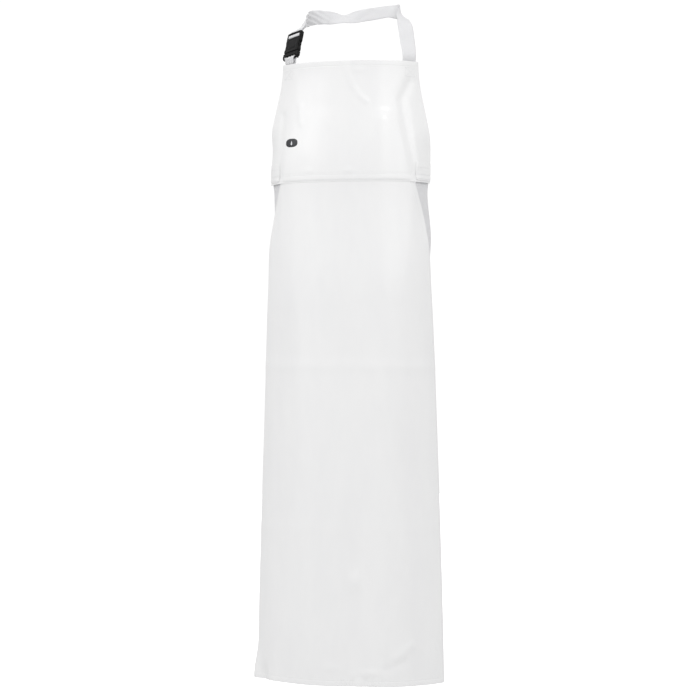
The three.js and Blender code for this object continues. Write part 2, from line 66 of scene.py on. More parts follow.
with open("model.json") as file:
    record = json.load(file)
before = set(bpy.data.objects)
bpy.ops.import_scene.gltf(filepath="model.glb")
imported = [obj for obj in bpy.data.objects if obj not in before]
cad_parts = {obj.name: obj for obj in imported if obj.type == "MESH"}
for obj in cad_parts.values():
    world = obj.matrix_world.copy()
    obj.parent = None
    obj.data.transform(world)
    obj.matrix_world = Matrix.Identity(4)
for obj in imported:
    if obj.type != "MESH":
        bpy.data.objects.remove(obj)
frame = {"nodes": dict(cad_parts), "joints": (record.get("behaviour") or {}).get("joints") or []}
CAD_BOX = [list(corner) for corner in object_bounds()]
JOINTS = {joint["name"]: joint for joint in frame["joints"]}

# ---- Sizes that the frame and the sheets share ----
BIB_BOTTOM, BIB_TOP = (corner.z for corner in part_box("bib_panel"))
SKIRT_BOTTOM, SKIRT_TOP = (corner.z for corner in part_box("skirt_panel"))
BIB_HALF = 0.147  # half the bib's width at its top, along the sheet
WING_REACH = 0.036  # how much further its edge reaches at the seam
WING_RUN = 0.210  # the height over which it does so
WING_EDGE = BIB_HALF + WING_REACH
SEAM_LAP = SKIRT_TOP - BIB_BOTTOM
NECK_WIDTH = 0.030
WAIST_WIDTH = 0.038
WEBBING = 0.0016  # thickness
CREASE_LOW = WING_EDGE - WAIST_WIDTH - 0.005
CREASE_HIGH = BIB_HALF - 0.028
HIP_REACH = 0.009
HIP_FLARE = WING_EDGE + HIP_REACH - CREASE_LOW
HIP_RUN = 0.130
HEM_FLARE = 0.026
SHEET = 0.0009  # the room that each coated sheet has in the frame
LAYER_GAP = 0.00035
STITCH_ROW = 0.003  # from the seam's edge to its nearer row of stitches
BIB_LIFT = SHEET + 0.0008
WRAP_STEPS = 40
ROUNDNESS = 1.5  # how late across the sheet it turns away
TURN_LIMIT = 1.15
CREASE_WIDTH = 0.016
HIP_DROP = 0.238  # from the seam to the hips

# Height, half width along the sheet, heading there in degrees and depth of its middle.
BODY_STATIONS = np.array([
    [BIB_TOP, BIB_HALF, 47, 0.165],
    [BIB_BOTTOM, WING_EDGE, 50, 0.188],
    [BIB_BOTTOM - HIP_DROP, WING_EDGE + HIP_REACH, 56, 0.200],
    [SKIRT_BOTTOM, WING_EDGE + 0.034, 58, 0.205],
])


def smooth(t):
    """0 before 0, 1 after 1, and an easy slope between."""
    t = np.clip(t, 0.0, 1.0)
    return t * t * (3 - 2 * t)


def bump(value, middle, width):
    """1 at a middle, falling to 0 on both sides of it."""
    return np.exp(-((value - middle) / width) ** 2)


def body_at(z):
    """Half width, edge heading in radians and depth of the hanging surface at heights z."""
    tops = BODY_STATIONS[:, 0]
    index = np.clip(np.searchsorted(-tops, -np.asarray(z, float)) - 1, 0, len(tops) - 2)
    above = BODY_STATIONS[index]
    below = BODY_STATIONS[index + 1]
    t = smooth((above[..., 0] - z) / (above[..., 0] - below[..., 0]))[..., None]
    row = above + (below - above) * t
    return row[..., 1], np.radians(row[..., 2]), row[..., 3]


def crease_at(z, side):
    """Where the wing's crease lies along the sheet, and how far it turns the sheet."""
    start = np.where(side < 0, 0.120, 0.133)
    run = np.where(side < 0, 0.060, 0.085)
    grown = smooth((BIB_TOP - start - z) / run)
    fade = smooth((BIB_BOTTOM - z) / 0.140)
    high = np.where(side < 0, CREASE_LOW - 0.006, CREASE_HIGH)
    return high + (CREASE_LOW - high) * grown, math.radians(14) * grown * (1 - fade)


def heading(arc, z, side):
    """The sheet's heading in plan at a distance along it."""
    half, turn, _depth = body_at(z)
    crease, fold = crease_at(z, side)
    round_turn = turn * np.minimum(arc / half, TURN_LIMIT) ** ROUNDNESS
    return round_turn + fold * smooth((arc - crease) / CREASE_WIDTH + 0.5)


def wrap(arc, z, lift=0.0):
    """Points on the hanging surface, at distances along it from its middle, lifted off it."""
    arc, z, lift = (np.array(a) for a in np.broadcast_arrays(
        np.asarray(arc, float), np.asarray(z, float), np.asarray(lift, float)))
    side = np.where(arc < 0, -1.0, 1.0)
    step = np.abs(arc) / WRAP_STEPS
    x = np.zeros_like(arc)
    y = -body_at(z)[2]
    for i in range(WRAP_STEPS):
        turn = heading((i + 0.5) * step, z, side)
        x += np.cos(turn) * step
        y += np.sin(turn) * step
    end = heading(np.abs(arc), z, side)
    return np.stack([side * (x + np.sin(end) * lift), y - np.cos(end) * lift, z], -1)


def outward(arc, z):
    """The direction away from the wearer on the hanging surface."""
    arc, z = (np.asarray(a, float) for a in (arc, z))
    side = np.where(arc < 0, -1.0, 1.0)
    turn = heading(np.abs(arc), z, side)
    return np.stack([side * np.sin(turn), -np.cos(turn), np.zeros_like(turn)], -1)


# ---- Relief of the sheets: soft folds, creases and dents ----
def ridge(arc, z, line, height, width):
    """A crease of a given height and half width along a line of (arc, z) points."""
    best = np.full(np.broadcast(arc, z).shape, 1e9)
    for (a0, z0), (a1, z1) in zip(line, line[1:]):
        da, dz = a1 - a0, z1 - z0
        t = np.clip(((arc - a0) * da + (z - z0) * dz) / (da * da + dz * dz), 0, 1)
        best = np.minimum(best, np.hypot(arc - a0 - t * da, z - z0 - t * dz))
    return height * np.exp(-(best / width) ** 2)


def dent(arc, z, place, size, height):
    """A round bump, or a hollow where its height is negative."""
    return height * np.exp(-((arc - place[0]) / size[0]) ** 2 - ((z - place[1]) / size[1]) ** 2)


def hang_waves(arc, z):
    """Slight unevenness of a stiff sheet that hangs, the same on each run."""
    rng = np.random.default_rng(7)
    total = np.zeros(np.broadcast(arc, z).shape)
    for _ in range(14):
        across = rng.uniform(14, 60)
        down = rng.uniform(-7, 7)
        phase = rng.uniform(0, math.tau)
        total += np.sin(across * arc + down * z + phase) * 9.0 / across
    return total


def marked(relief, arc, z, ridges, dents=()):
    """A relief with listed ridges (line, height, width) and dents (place, size, height)."""
    for line, height, width in ridges:
        relief = relief + ridge(arc, z, line, height, width)
    for place, size, height in dents:
        relief = relief + dent(arc, z, place, size, height)
    return relief


FOLD_LINES = [
    (((-0.3, -0.722), (0.3, -0.726)), 0.0006, 0.012),
    (((-0.3, -1.045), (0.3, -1.040)), 0.0003, 0.012),
]
BIB_RIDGES = [
    (((-0.002, -0.126), (0.003, -0.148), (0.013, -0.172), (0.028, -0.193), (0.040, -0.203)),
     0.0013, 0.0055),
    (((0.126, -0.165), (0.110, -0.200), (0.122, -0.262), (0.141, -0.345)), -0.0026, 0.0095),
    (((0.137, -0.275), (0.150, -0.330)), 0.0012, 0.006),
    (((-0.138, -0.225), (-0.142, -0.350)), -0.0022, 0.008),
    (((-0.094, -0.210), (-0.092, -0.244)), 0.0009, 0.007),
]
BIB_DENTS = [
    ((0.024, -0.141), (0.011, 0.005), 0.0008),
    ((0.008, BIB_BOTTOM + 0.0215), (0.0075, 0.0055), 0.0011),
    ((-0.072, BIB_BOTTOM + 0.022), (0.009, 0.006), 0.0006),
    ((-0.05, -0.21), (0.03, 0.02), -0.0009),
    *((place, (0.003, 0.0035), 0.0006)
      for place in ((0.139, -0.141), (0.141, -0.152), (0.134, -0.160), (-0.136, -0.148))),
]
SKIRT_RIDGES = [
    (((0.105, -1.292), (0.135, -1.268)), 0.0013, 0.008),
    (((0.085, -1.315), (0.118, -1.300)), -0.0009, 0.009),
]
SKIRT_DENTS = [
    ((0.024, -1.142), (0.012, 0.018), 0.0022),
    ((-0.024, -1.312), (0.014, 0.008), 0.0008),
    ((0.052, -1.322), (0.022, 0.007), 0.0012),
]


def body_relief(arc, z):
    """Folds that run through the bib and the skirt alike."""
    down = smooth((BIB_BOTTOM + 0.03 - z) / 0.45)
    folds = np.cos(math.tau * (arc + 0.062 - 0.02 * smooth((-0.7 - z) / 0.6)) / 0.150)
    edge = smooth((0.185 - np.abs(arc)) / 0.05)
    relief = 0.0019 * down * folds * edge + hang_waves(arc, z) * 0.00045 * (0.35 + 0.65 * down)
    return marked(relief, arc, z, FOLD_LINES)


def bib_relief(arc, z):
    """The bib's own shape: the full chest, and creases from how it hangs."""
    rise = smooth((-0.212 - z) / 0.030) * (1 - smooth((-0.238 - z) / 0.115))
    centre = 0.076 - 0.014 * smooth((-0.23 - z) / 0.11)
    width = 0.022 + 0.016 * smooth((-0.23 - z) / 0.10)
    relief = body_relief(arc, z) + 0.0036 * rise * bump(arc, centre, width)
    relief = marked(relief, arc, z, BIB_RIDGES, BIB_DENTS)
    seam = bump(z, BIB_BOTTOM + 0.0085, 0.011)
    relief += 0.00012 * seam * np.sin(arc * 420 + 2 * np.sin(arc * 60))
    seam_side = smooth((CREASE_LOW - 0.004 - np.abs(arc)) / 0.010)
    relief -= 0.00125 * seam_side * smooth((BIB_BOTTOM + 0.0045 - z) / 0.0035)
    for row in (STITCH_ROW, SEAM_LAP - STITCH_ROW):
        relief -= 0.00045 * bump(z, BIB_BOTTOM + row, 0.0013)
    return relief


def skirt_relief(arc, z):
    """The skirt's own shape: dents and crinkles by the hem, and one turned corner."""
    relief = marked(body_relief(arc, z), arc, z, SKIRT_RIDGES, SKIRT_DENTS)
    low = smooth((SKIRT_BOTTOM + 0.020 - z) / 0.012)
    window = bump(arc, 0.035, 0.045)
    relief += 0.0015 * low * window * np.sin(arc * 430 + 3 * np.sin(arc * 90))
    relief += 0.00018 * low * np.sin(arc * 300 + 2 * np.sin(arc * 41))
    rim = 1 - np.clip((skirt_half(z) - np.abs(arc)) / 0.011, 0, 1)
    relief -= 0.0042 * rim ** 1.6 * smooth((BIB_BOTTOM - 0.10 - z) / 0.12)
    relief += 0.0085 * smooth((-arc - 0.182) / 0.030) * smooth((-1.270 - z) / 0.075)
    hollow = smooth((-arc - 0.166) / 0.012) * smooth((0.205 + arc) / 0.02)
    return relief - 0.0030 * hollow * smooth((-1.300 - z) / 0.04)


def bib_half(z, side=1.0):
    """Half width of the bib along the sheet; the wing on the buckle's side opens sooner."""
    run = np.where(side < 0, WING_RUN * 0.86, WING_RUN)
    return BIB_HALF + WING_REACH * smooth((BIB_TOP - z) / run)


def skirt_half(z, _side=1.0):
    """Half width of the skirt along the sheet, the same on both sides."""
    drop = np.maximum(0.0, BIB_BOTTOM - z)
    return CREASE_LOW + HIP_FLARE * (1 - np.exp(-drop / HIP_RUN)) + HEM_FLARE * drop


# ---- Mesh building ----
def unit(rows):
    """Rows of vectors, each scaled to length 1."""
    return rows / np.linalg.norm(rows, axis=1)[:, None]


def square_to(rows, along):
    """Rows of vectors made square to unit vectors, and of length 1."""
    return unit(rows - along * np.sum(rows * along, axis=1)[:, None])


def run_of(line):
    """The distance along a line of points at each of them."""
    return np.concatenate([[0], np.cumsum(np.linalg.norm(np.diff(line, axis=0), axis=1))])


def pick(places, run, values):
    """Rows of values at given distances along a run."""
    return np.stack([np.interp(places, run, values[:, k]) for k in range(3)], -1)


def new_piece(name, verts, faces, uvs=None, uv_name="Flat"):
    """A mesh object with its place in its mesh, linked to the scene."""
    mesh = bpy.data.meshes.new(name)
    mesh.from_pydata([tuple(p) for p in verts], [], [tuple(int(i) for i in f) for f in faces])
    if uvs is not None:
        layer = mesh.uv_layers.new(name=uv_name)
        corners = np.empty(len(mesh.loops), np.int32)
        mesh.loops.foreach_get("vertex_index", corners)
        layer.data.foreach_set("uv", np.asarray(uvs, np.float32)[corners].ravel())
    mesh.shade_smooth()
    mesh.update()
    piece = bpy.data.objects.new(name, mesh)
    bpy.context.scene.collection.objects.link(piece)
    return piece


def edge_stations(length, fine, pitch):
    """Distances across a length: close together by both edges, then at a pitch."""
    inner = np.linspace(fine[-1], length - fine[-1], max(2, round((length - 2 * fine[-1]) / pitch)))
    return np.concatenate([fine[:-1], inner, length - np.array(fine[:-1])[::-1]])


def grid_faces(rows, columns, first, turned):
    """Quads of a grid of points numbered row by row."""
    index = first + np.arange(rows * columns).reshape(rows, columns)
    quads = np.stack([index[:-1, :-1], index[1:, :-1], index[1:, 1:], index[:-1, 1:]], -1)
    quads = quads.reshape(-1, 4)
    return quads[:, ::-1] if turned else quads


def closed_sheet(name, outer, inner, flat):
    """A thin closed piece: an outer and an inner grid of points with a rounded rim."""
    rows, columns = outer.shape[:2]
    count = rows * columns
    index = np.arange(count).reshape(rows, columns)
    loop = np.concatenate([index[0, :-1], index[:-1, -1], index[-1, :0:-1], index[:0:-1, 0]])
    inside = np.concatenate([index[1, :-1], index[:-1, -2], index[-2, :0:-1], index[:0:-1, 1]])
    outer, inner, flat = outer.reshape(-1, 3), inner.reshape(-1, 3), flat.reshape(-1, 2)
    thickness = np.linalg.norm(outer[loop] - inner[loop], axis=1)[:, None]
    away = unit(outer[loop] - outer[inside])
    rim = (outer[loop] + inner[loop]) / 2 + away * thickness * 0.45
    after = np.roll(loop, -1)
    ring = 2 * count + np.arange(len(loop))
    ring_after = np.roll(ring, -1)
    faces = [grid_faces(rows, columns, 0, False), grid_faces(rows, columns, count, True),
             np.stack([loop, after, ring_after, ring], -1),
             np.stack([ring, ring_after, count + after, count + loop], -1)]
    piece = new_piece(name, np.concatenate([outer, inner, rim]), np.concatenate(faces),
                      np.concatenate([flat, flat, flat[loop]]))
    back = np.zeros(len(piece.data.polygons), np.int32)
    quads = (rows - 1) * (columns - 1)
    back[quads:2 * quads] = 1
    return piece, back


HEM_FINE = [0.0, 0.0004, 0.0011, 0.0024, 0.0045, 0.0068, 0.0086, 0.0096, 0.0101, 0.0106,
            0.0113, 0.0124, 0.0142, 0.0175]
HEM_WIDTH = 0.012
CLOTH = 0.0006  # thickness of the sheet that is seen
EDGE_FINE = [0.0, 0.0004, 0.0012, 0.0026, 0.0050, 0.0085]


def hem_profile(distance, width, fold):
    """Outer and inner offsets of a welded hem, at distances from the sheet's edge."""
    weld = bump(distance, width - 0.0018, 0.0007)
    roll = 1 - smooth(distance / 0.0011)
    over = 1 - smooth((distance - width) / 0.0012 + 0.5)
    return 0.00016 * over - 0.00030 * weld - 0.00022 * roll, -fold * over + 0.00022 * roll


def hung_sheet(name, top, bottom, half, relief, lift, hems):
    """A hanging sheet between two heights with hems at some of its edges."""
    widest = max(float(half(np.array(top), 1.0)), float(half(np.array(bottom), 1.0)))
    downs = edge_stations(top - bottom, HEM_FINE, 0.0034)
    acrosses = edge_stations(2 * widest, HEM_FINE, 0.0032)
    z = top - downs[:, None] + 0 * acrosses[None, :]
    left, right = half(z, -1.0), half(z, 1.0)
    fromleft = acrosses[None, :] + 0 * z
    fromright = 2 * widest - fromleft
    # The fine columns keep their distance from the edge; the middle ones share the rest.
    fine = HEM_FINE[-1]
    share = (fromleft - fine) / (2 * widest - 2 * fine)
    middle = -left + fine + share * (left + right - 2 * fine)
    arc = np.where(fromleft < fine, -left + fromleft,
                   np.where(fromright < fine, right - fromright, middle))
    outer_lift = np.full(z.shape, lift + SHEET) + relief(arc, z)
    edges = {"side_left": arc + left, "side_right": right - arc, "top": top - z,
             "bottom": z - bottom}
    outer_fold, inner_fold = np.zeros(z.shape), np.zeros(z.shape)
    for edge in hems:
        up, down = hem_profile(edges[edge], HEM_WIDTH, CLOTH)
        outer_fold += up
        inner_fold = np.minimum(inner_fold, down)
    return closed_sheet(name, wrap(arc, z, outer_lift + outer_fold),
                        wrap(arc, z, outer_lift - CLOTH + inner_fold), np.stack([arc, z], -1))


def patch(name, middle, width, top, height, lift, thickness, corner, relief, emboss):
    """A small piece of sheet with rounded corners that lies along the hanging surface."""
    downs = edge_stations(height, EDGE_FINE, 0.0022)
    acrosses = edge_stations(width, EDGE_FINE, 0.0022) - width / 2
    z = top - downs[:, None] + 0 * acrosses[None, :]
    near = np.minimum(downs, height - downs)
    cut = corner - np.sqrt(np.maximum(0.0, corner ** 2 - np.maximum(0.0, corner - near) ** 2))
    arc = middle + acrosses[None, :] * ((width / 2 - cut) / (width / 2))[:, None]
    side = width / 2 - cut[:, None] - np.abs(arc - middle)
    edge = np.minimum(side, near[:, None] + 0 * side)
    groove = -emboss * bump(edge, 0.0030, 0.0006)
    base = lift + relief(arc, z)
    roll = 0.35 * thickness * (1 - smooth(edge / 0.0012))
    return closed_sheet(name, wrap(arc, z, base + thickness + groove - roll),
                        wrap(arc, z, base + roll * 0.5), np.stack([arc, z], -1))[0]


# ---- Straps ----
def spline(stops, per_span=20):
    """Points and across directions along a smooth line through the stops."""
    points = np.array([s[0] for s in stops], float)
    ways = np.array([s[1] for s in stops], float)
    padded = np.vstack([2 * points[0] - points[1], points, 2 * points[-1] - points[-2]])
    line, across = [], []
    for i in range(len(points) - 1):
        p0, p1, p2, p3 = padded[i:i + 4]
        d0, d1, d2 = (max(np.linalg.norm(b - a), 1e-6) ** 0.5
                      for a, b in ((p0, p1), (p1, p2), (p2, p3)))
        m1 = ((p1 - p0) / d0 - (p2 - p0) / (d0 + d1) + (p2 - p1) / d1) * d1
        m2 = ((p2 - p1) / d1 - (p3 - p1) / (d1 + d2) + (p3 - p2) / d2) * d1
        last = i == len(points) - 2
        for t in np.linspace(0, 1, per_span + 1)[: None if last else -1]:
            line.append((2 * t ** 3 - 3 * t ** 2 + 1) * p1 + (t ** 3 - 2 * t ** 2 + t) * m1
                        + (3 * t ** 2 - 2 * t ** 3) * p2 + (t ** 3 - t ** 2) * m2)
            across.append(ways[i] + (ways[i + 1] - ways[i]) * smooth(t))
    return np.array(line), np.array(across)


def strap_frames(stops, pitch):
    """Evenly spaced distances and points with their across and normal directions."""
    line, across = spline(stops)
    run = run_of(line)
    s = np.linspace(0, run[-1], int(run[-1] / pitch) + 1)
    points = pick(s, run, line)
    along = unit(np.gradient(points, axis=0))
    ways = square_to(pick(s, run, across), along)
    return s, points, ways, np.cross(along, ways)


def strap(name, stops, width, relief=None, pitch=0.0016):
    """Flat webbing along a route, with rounded selvedges and a surface map in metres."""
    s, points, across, normal = strap_frames(stops, pitch)
    bend = np.linspace(-1, 1, 19)
    share = np.sin(bend * math.pi / 2) * 0.35 + bend * 0.65
    profile = np.sqrt(np.maximum(0.0, 1 - np.abs(share) ** 14))
    offset = np.tile(share * width / 2, (len(s), 1))
    lift = relief(s[:, None], offset) if relief else 0 * offset
    top, low = (points[:, None] + across[:, None] * offset[..., None]
                + normal[:, None] * (lift + side * WEBBING / 2 * profile)[..., None]
                for side in (1, -1))
    rings = np.concatenate([top, low[:, -2:0:-1]], axis=1)
    count = rings.shape[1]
    index = np.arange(len(s) * count).reshape(len(s), count)
    after = np.roll(index, -1, axis=1)
    faces = list(np.stack([index[:-1], after[:-1], after[1:], index[1:]], -1).reshape(-1, 4))
    k = len(share)
    for ring, turned in ((index[0], False), (index[-1], True)):
        lower = np.concatenate([[ring[0]], ring[:k - 1:-1], [ring[k - 1]]])
        for j in range(k - 1):
            quad = list(dict.fromkeys([ring[j], lower[j], lower[j + 1], ring[j + 1]]))
            faces.append(quad[::-1] if turned else quad)
    across_map = np.concatenate([offset, offset[:, -2:0:-1]], axis=1)
    uvs = np.stack([across_map, np.repeat(s[:, None], count, 1)], -1).reshape(-1, 2)
    return new_piece(name, rings.reshape(-1, 3), faces, uvs, "Weave")


# ---- Stitches ----
def stitch_shape():
    """One stitch of unit length and thickness, slightly flattened, as points and faces."""
    bpy.ops.object.select_all(action="DESELECT")
    bpy.ops.mesh.primitive_uv_sphere_add(segments=8, ring_count=6, radius=0.5)
    ball = bpy.context.active_object
    bpy.ops.object.mode_set(mode="EDIT")
    bpy.ops.mesh.select_all(action="SELECT")
    bpy.ops.transform.rotate(value=math.pi / 2, orient_axis="Y", center_override=(0, 0, 0))
    bpy.ops.object.mode_set(mode="OBJECT")
    points = np.array([v.co for v in ball.data.vertices])
    faces = [list(p.vertices) for p in ball.data.polygons]
    bpy.data.objects.remove(ball)
    return points, faces


def stitch_line(line, normals, pitch, length):
    """Middle, tangent and normal of each stitch along a line."""
    run = run_of(line)
    middles = np.arange(pitch / 2, run[-1], pitch)
    along = unit(pick(middles + length / 2, run, line) - pick(middles - length / 2, run, line))
    return pick(middles, run, line), along, square_to(pick(middles, run, normals), along)


THREAD = 0.00065


def stitches(name, lines, pitch, length=0.0031):
    """Rows of stitches along lines, each line given as points and normals."""
    shape, shape_faces = stitch_shape()
    verts, faces, total = [], [], 0
    rng = np.random.default_rng(11)
    for line, normals in lines:
        for centre, along, up in zip(*stitch_line(line, normals, pitch, length)):
            across = np.cross(up, along)
            across += along * rng.normal(0, 0.05)
            points = (shape[:, :1] * along * length + shape[:, 1:2] * across * THREAD
                      + shape[:, 2:] * up * THREAD * 0.85)
            verts.append(points + centre + up * (THREAD * 0.18))
            faces.extend([[i + total for i in face] for face in shape_faces])
            total += len(shape)
    return new_piece(name, np.concatenate(verts), faces)


# ---- Buckles ----
RAIL = 0.009
MOUTH = 0.0178
WINDOW_START = 0.0278
WINDOW_END = 0.0408
LADDER_START = 0.0518
LADDER_END = 0.0613
BUCKLE_END = 0.0658
BAR_SIZE = 0.0024
PLUG_BAR_Y = 0.0042
LADDER_BAR_Y = (LADDER_START + LADDER_END) / 2
END_BAR_UNDERSIDE = -0.0002
PIVOT_Y = 0.015


class Seat:
    """Where a buckle lies: x across it, y from the plug to the socket, z out of its face."""

    def __init__(self, prefix):
        self.along = Vector(JOINTS[f"{prefix}_buckle_release"]["axis"]).normalized()
        self.normal = Vector(JOINTS[f"{prefix}_arm_left_squeeze"]["axis"]).normalized()
        self.across = self.along.cross(self.normal)
        pivots = [Vector(JOINTS[f"{prefix}_arm_{side}_squeeze"]["pos_m"])
                  for side in ("left", "right")]
        self.origin = (pivots[0] + pivots[1]) / 2 - self.along * PIVOT_Y

    def point(self, x, y, z):
        """A point given in the buckle's own frame."""
        return self.origin + self.across * x + self.along * y + self.normal * z

    def matrix(self):
        """From the buckle's own frame to the apron's."""
        turn = Matrix((self.across, self.along, self.normal)).transposed().to_4x4()
        return Matrix.Translation(self.origin) @ turn


NECK = Seat("neck")
WAIST = Seat("waist")


# From a bar's middle to the middle of webbing that turns round it.
BAR_SKIN = BAR_SIZE * math.sqrt(0.5) + LAYER_GAP + WEBBING / 2


def bar_turn(seat, bar_y, skin, side):
    """Half a turn of webbing round a bar, from its face side (1) or its back (-1)."""
    stops = []
    for quarter in range(5):
        angle = side * (math.pi / 2 - quarter * math.pi / 4)
        stops.append((seat.point(0, bar_y + skin * math.cos(angle), skin * math.sin(angle)),
                      seat.across))
    return stops


def ladder_wrap(seat, tail):
    """The webbing under the end bar, up over the ladder bar and back out, after its tail."""
    skin = BAR_SKIN
    under = END_BAR_UNDERSIDE - LAYER_GAP - WEBBING / 2
    lower = under - WEBBING - LAYER_GAP
    front, back = LADDER_BAR_Y - skin, LADDER_BAR_Y + skin
    proud = skin + 0.0016
    places = [(BUCKLE_END + 0.001, lower - 0.0001), (LADDER_END - 0.001, lower - 0.0001),
              (LADDER_BAR_Y, lower), (front + 0.0008, lower + 0.0009), (front, 0),
              (LADDER_BAR_Y - 0.0024, proud * 0.86), (LADDER_BAR_Y, proud),
              (LADDER_BAR_Y + 0.0024, proud * 0.86), (back, 0), (back + 0.0011, under + 0.0001),
              (back + 0.003, under), (BUCKLE_END + 0.002, under), (BUCKLE_END + 0.007, under)]
    return tail + [(seat.point(0, y, z), seat.across) for y, z in places]


def select_only(piece):
    """Makes a piece the one selected and active object."""
    bpy.ops.object.select_all(action="DESELECT")
    piece.select_set(True)
    bpy.context.view_layer.objects.active = piece


def modify(piece, kind, **settings):
    """Adds a modifier with its settings and applies it."""
    modifier = piece.modifiers.new(kind.title(), kind)
    for name, value in settings.items():
        setattr(modifier, name, value)
    bpy.ops.object.modifier_apply(modifier=modifier.name)


def moulded(name, node, seat, voxel, shape):
    """A copy of a CAD buckle piece with rounded moulded edges and a shaped surface."""
    mesh = frame["nodes"][node].data.copy()
    mesh.materials.clear()
    piece = bpy.data.objects.new(name, mesh)
    bpy.context.scene.collection.objects.link(piece)
    place = seat.matrix()
    mesh.transform(place.inverted())
    select_only(piece)
    bpy.ops.object.mode_set(mode="EDIT")
    bpy.ops.mesh.select_all(action="SELECT")
    bpy.ops.mesh.remove_doubles(threshold=0.00001)
    bpy.ops.object.mode_set(mode="OBJECT")
    modify(piece, "REMESH", mode="VOXEL", voxel_size=voxel)
    modify(piece, "SMOOTH", factor=0.5, iterations=3)
    points = np.empty(len(piece.data.vertices) * 3)
    piece.data.vertices.foreach_get("co", points)
    points = np.stack(shape(*points.reshape(-1, 3).T.copy()), -1)
    piece.data.vertices.foreach_set("co", points.ravel())
    piece.data.transform(place)
    piece.data.shade_smooth()
    piece.data.update()
    return piece


def plateau(x, low, high, soft):
    """1 between two limits with soft edges, 0 outside."""
    return smooth((x - low) / soft + 0.5) * smooth((high - x) / soft + 0.5)


def shape_socket(half):
    """Crowned faces, sides that draw in beside the windows, and a sunk field with ribs."""
    def shape(x, y, z):
        crown = 1 - 0.16 * ((x / half) ** 4) - 0.14 * smooth((y - 0.044) / 0.020)
        face = np.abs(z) > 0.0038
        z = np.where(face, z * crown, z)
        waist = plateau(y, WINDOW_START - 0.001, WINDOW_END + 0.001, 0.006)
        outer = smooth((np.abs(x) - half + 0.0035) / 0.002)
        x = x * (1 - 0.065 * waist * outer)
        shoulder = plateau(y, WINDOW_END + 0.003, LADDER_START - 0.001, 0.004)
        x = x * (1 - 0.018 * shoulder * outer)
        field = plateau(x, -half * 0.60, half * 0.60, 0.0010) * plateau(
            y, MOUTH + 0.0045, LADDER_START - 0.0040, 0.0010)
        ribs = plateau(x, -half * 0.45, half * 0.45, 0.001) * plateau(
            y, MOUTH + 0.0065, MOUTH + 0.0125, 0.0006)
        comb = 0.5 + 0.5 * np.cos(math.tau * (y - MOUTH) / 0.0020)
        outside = np.abs(z) > 0.0036
        z -= np.sign(z) * outside * (0.00045 * field - 0.00040 * ribs * comb)
        return x, y, z
    return shape


def shape_plug(half):
    """A crowned base whose two ears taper beside the webbing."""
    def shape(x, y, z):
        ears = 1 - smooth(y / RAIL)
        outer = smooth((np.abs(x) - half + 0.003) / 0.002)
        z = z * (1 - 0.30 * ears * outer - 0.10 * (x / half) ** 2)
        x = x - np.sign(x) * 0.0009 * ears * outer
        y = y + 0.0024 * (1 - smooth(y / 0.0075)) * smooth((np.abs(x) - half + 0.006) / 0.002)
        groove = plateau(y, RAIL + 0.0035, RAIL + 0.0043, 0.0005)
        z -= np.sign(z) * 0.00035 * groove * (np.abs(z) > 0.0035)
        return x, y, z
    return shape


def shape_arm(half):
    """Grip ridges on the lobe that a finger presses."""
    def shape(x, y, z):
        lobe = smooth((np.abs(x) - half + 0.0022) / 0.0012)
        comb = 0.5 + 0.5 * np.cos(math.tau * (y - WINDOW_START) / 0.0021)
        x -= np.sign(x) * 0.00040 * lobe * comb * plateau(
            y, WINDOW_START + 0.001, WINDOW_END - 0.003, 0.001)
        return x, y, z
    return shape


# ---- Materials ----
def node_group(name, inputs, outputs):
    """An empty shader node group: its inputs by default value, its outputs by size."""
    kinds = {1: "NodeSocketFloat", 3: "NodeSocketVector", 4: "NodeSocketColor"}
    group = bpy.data.node_groups.new(name, "ShaderNodeTree")
    for label, value in inputs.items():
        socket = group.interface.new_socket(label, in_out="INPUT",
                                            socket_type=kinds[np.size(value)])
        socket.default_value = value
    for label, size in outputs.items():
        group.interface.new_socket(label, in_out="OUTPUT", socket_type=kinds[size])
    return group, group.nodes.new("NodeGroupInput"), group.nodes.new("NodeGroupOutput")


def join(group, *links):
    """Links pairs of sockets."""
    for source, target in links:
        group.links.new(source, target)


def math_node(group, operation, first, second=0.0):
    """A Math node whose inputs are sockets or numbers; returns its output."""
    node = group.nodes.new("ShaderNodeMath")
    node.operation = operation
    for socket, value in zip(node.inputs, (first, second)):
        if isinstance(value, (int, float)):
            socket.default_value = value
        else:
            join(group, (value, socket))
    return node.outputs[0]


def times(group, first, second):
    """The output of a Multiply node."""
    return math_node(group, "MULTIPLY", first, second)


def plus(group, first, second):
    """The output of an Add node."""
    return math_node(group, "ADD", first, second)


def color_mix(tree, share):
    """A colour Mix node driven by a share: its two colours and its output."""
    node = tree.nodes.new("ShaderNodeMix")
    node.data_type = "RGBA"
    join(tree, (share, node.inputs[0]))
    first, second = (socket for socket in node.inputs if socket.type == "RGBA")
    return first, second, next(socket for socket in node.outputs if socket.type == "RGBA")


def noise(group, vector, scale, detail):
    """A Noise Texture's value output."""
    node = group.nodes.new("ShaderNodeTexNoise")
    for label, number in (("Scale", scale), ("Detail", detail), ("Roughness", 0.55)):
        node.inputs[label].default_value = number
    join(group, (vector, node.inputs["Vector"]))
    return node.outputs["Fac"]


def spread(group, value, low, high, start=0.22, stop=0.78):
    """An eased Map Range node from start..stop to low..high; returns its output."""
    node = group.nodes.new("ShaderNodeMapRange")
    node.interpolation_type = "SMOOTHSTEP"
    for label, number in (("From Min", start), ("From Max", stop), ("To Min", low),
                          ("To Max", high)):
        node.inputs[label].default_value = number
    join(group, (value, node.inputs["Value"]))
    return node.outputs["Result"]


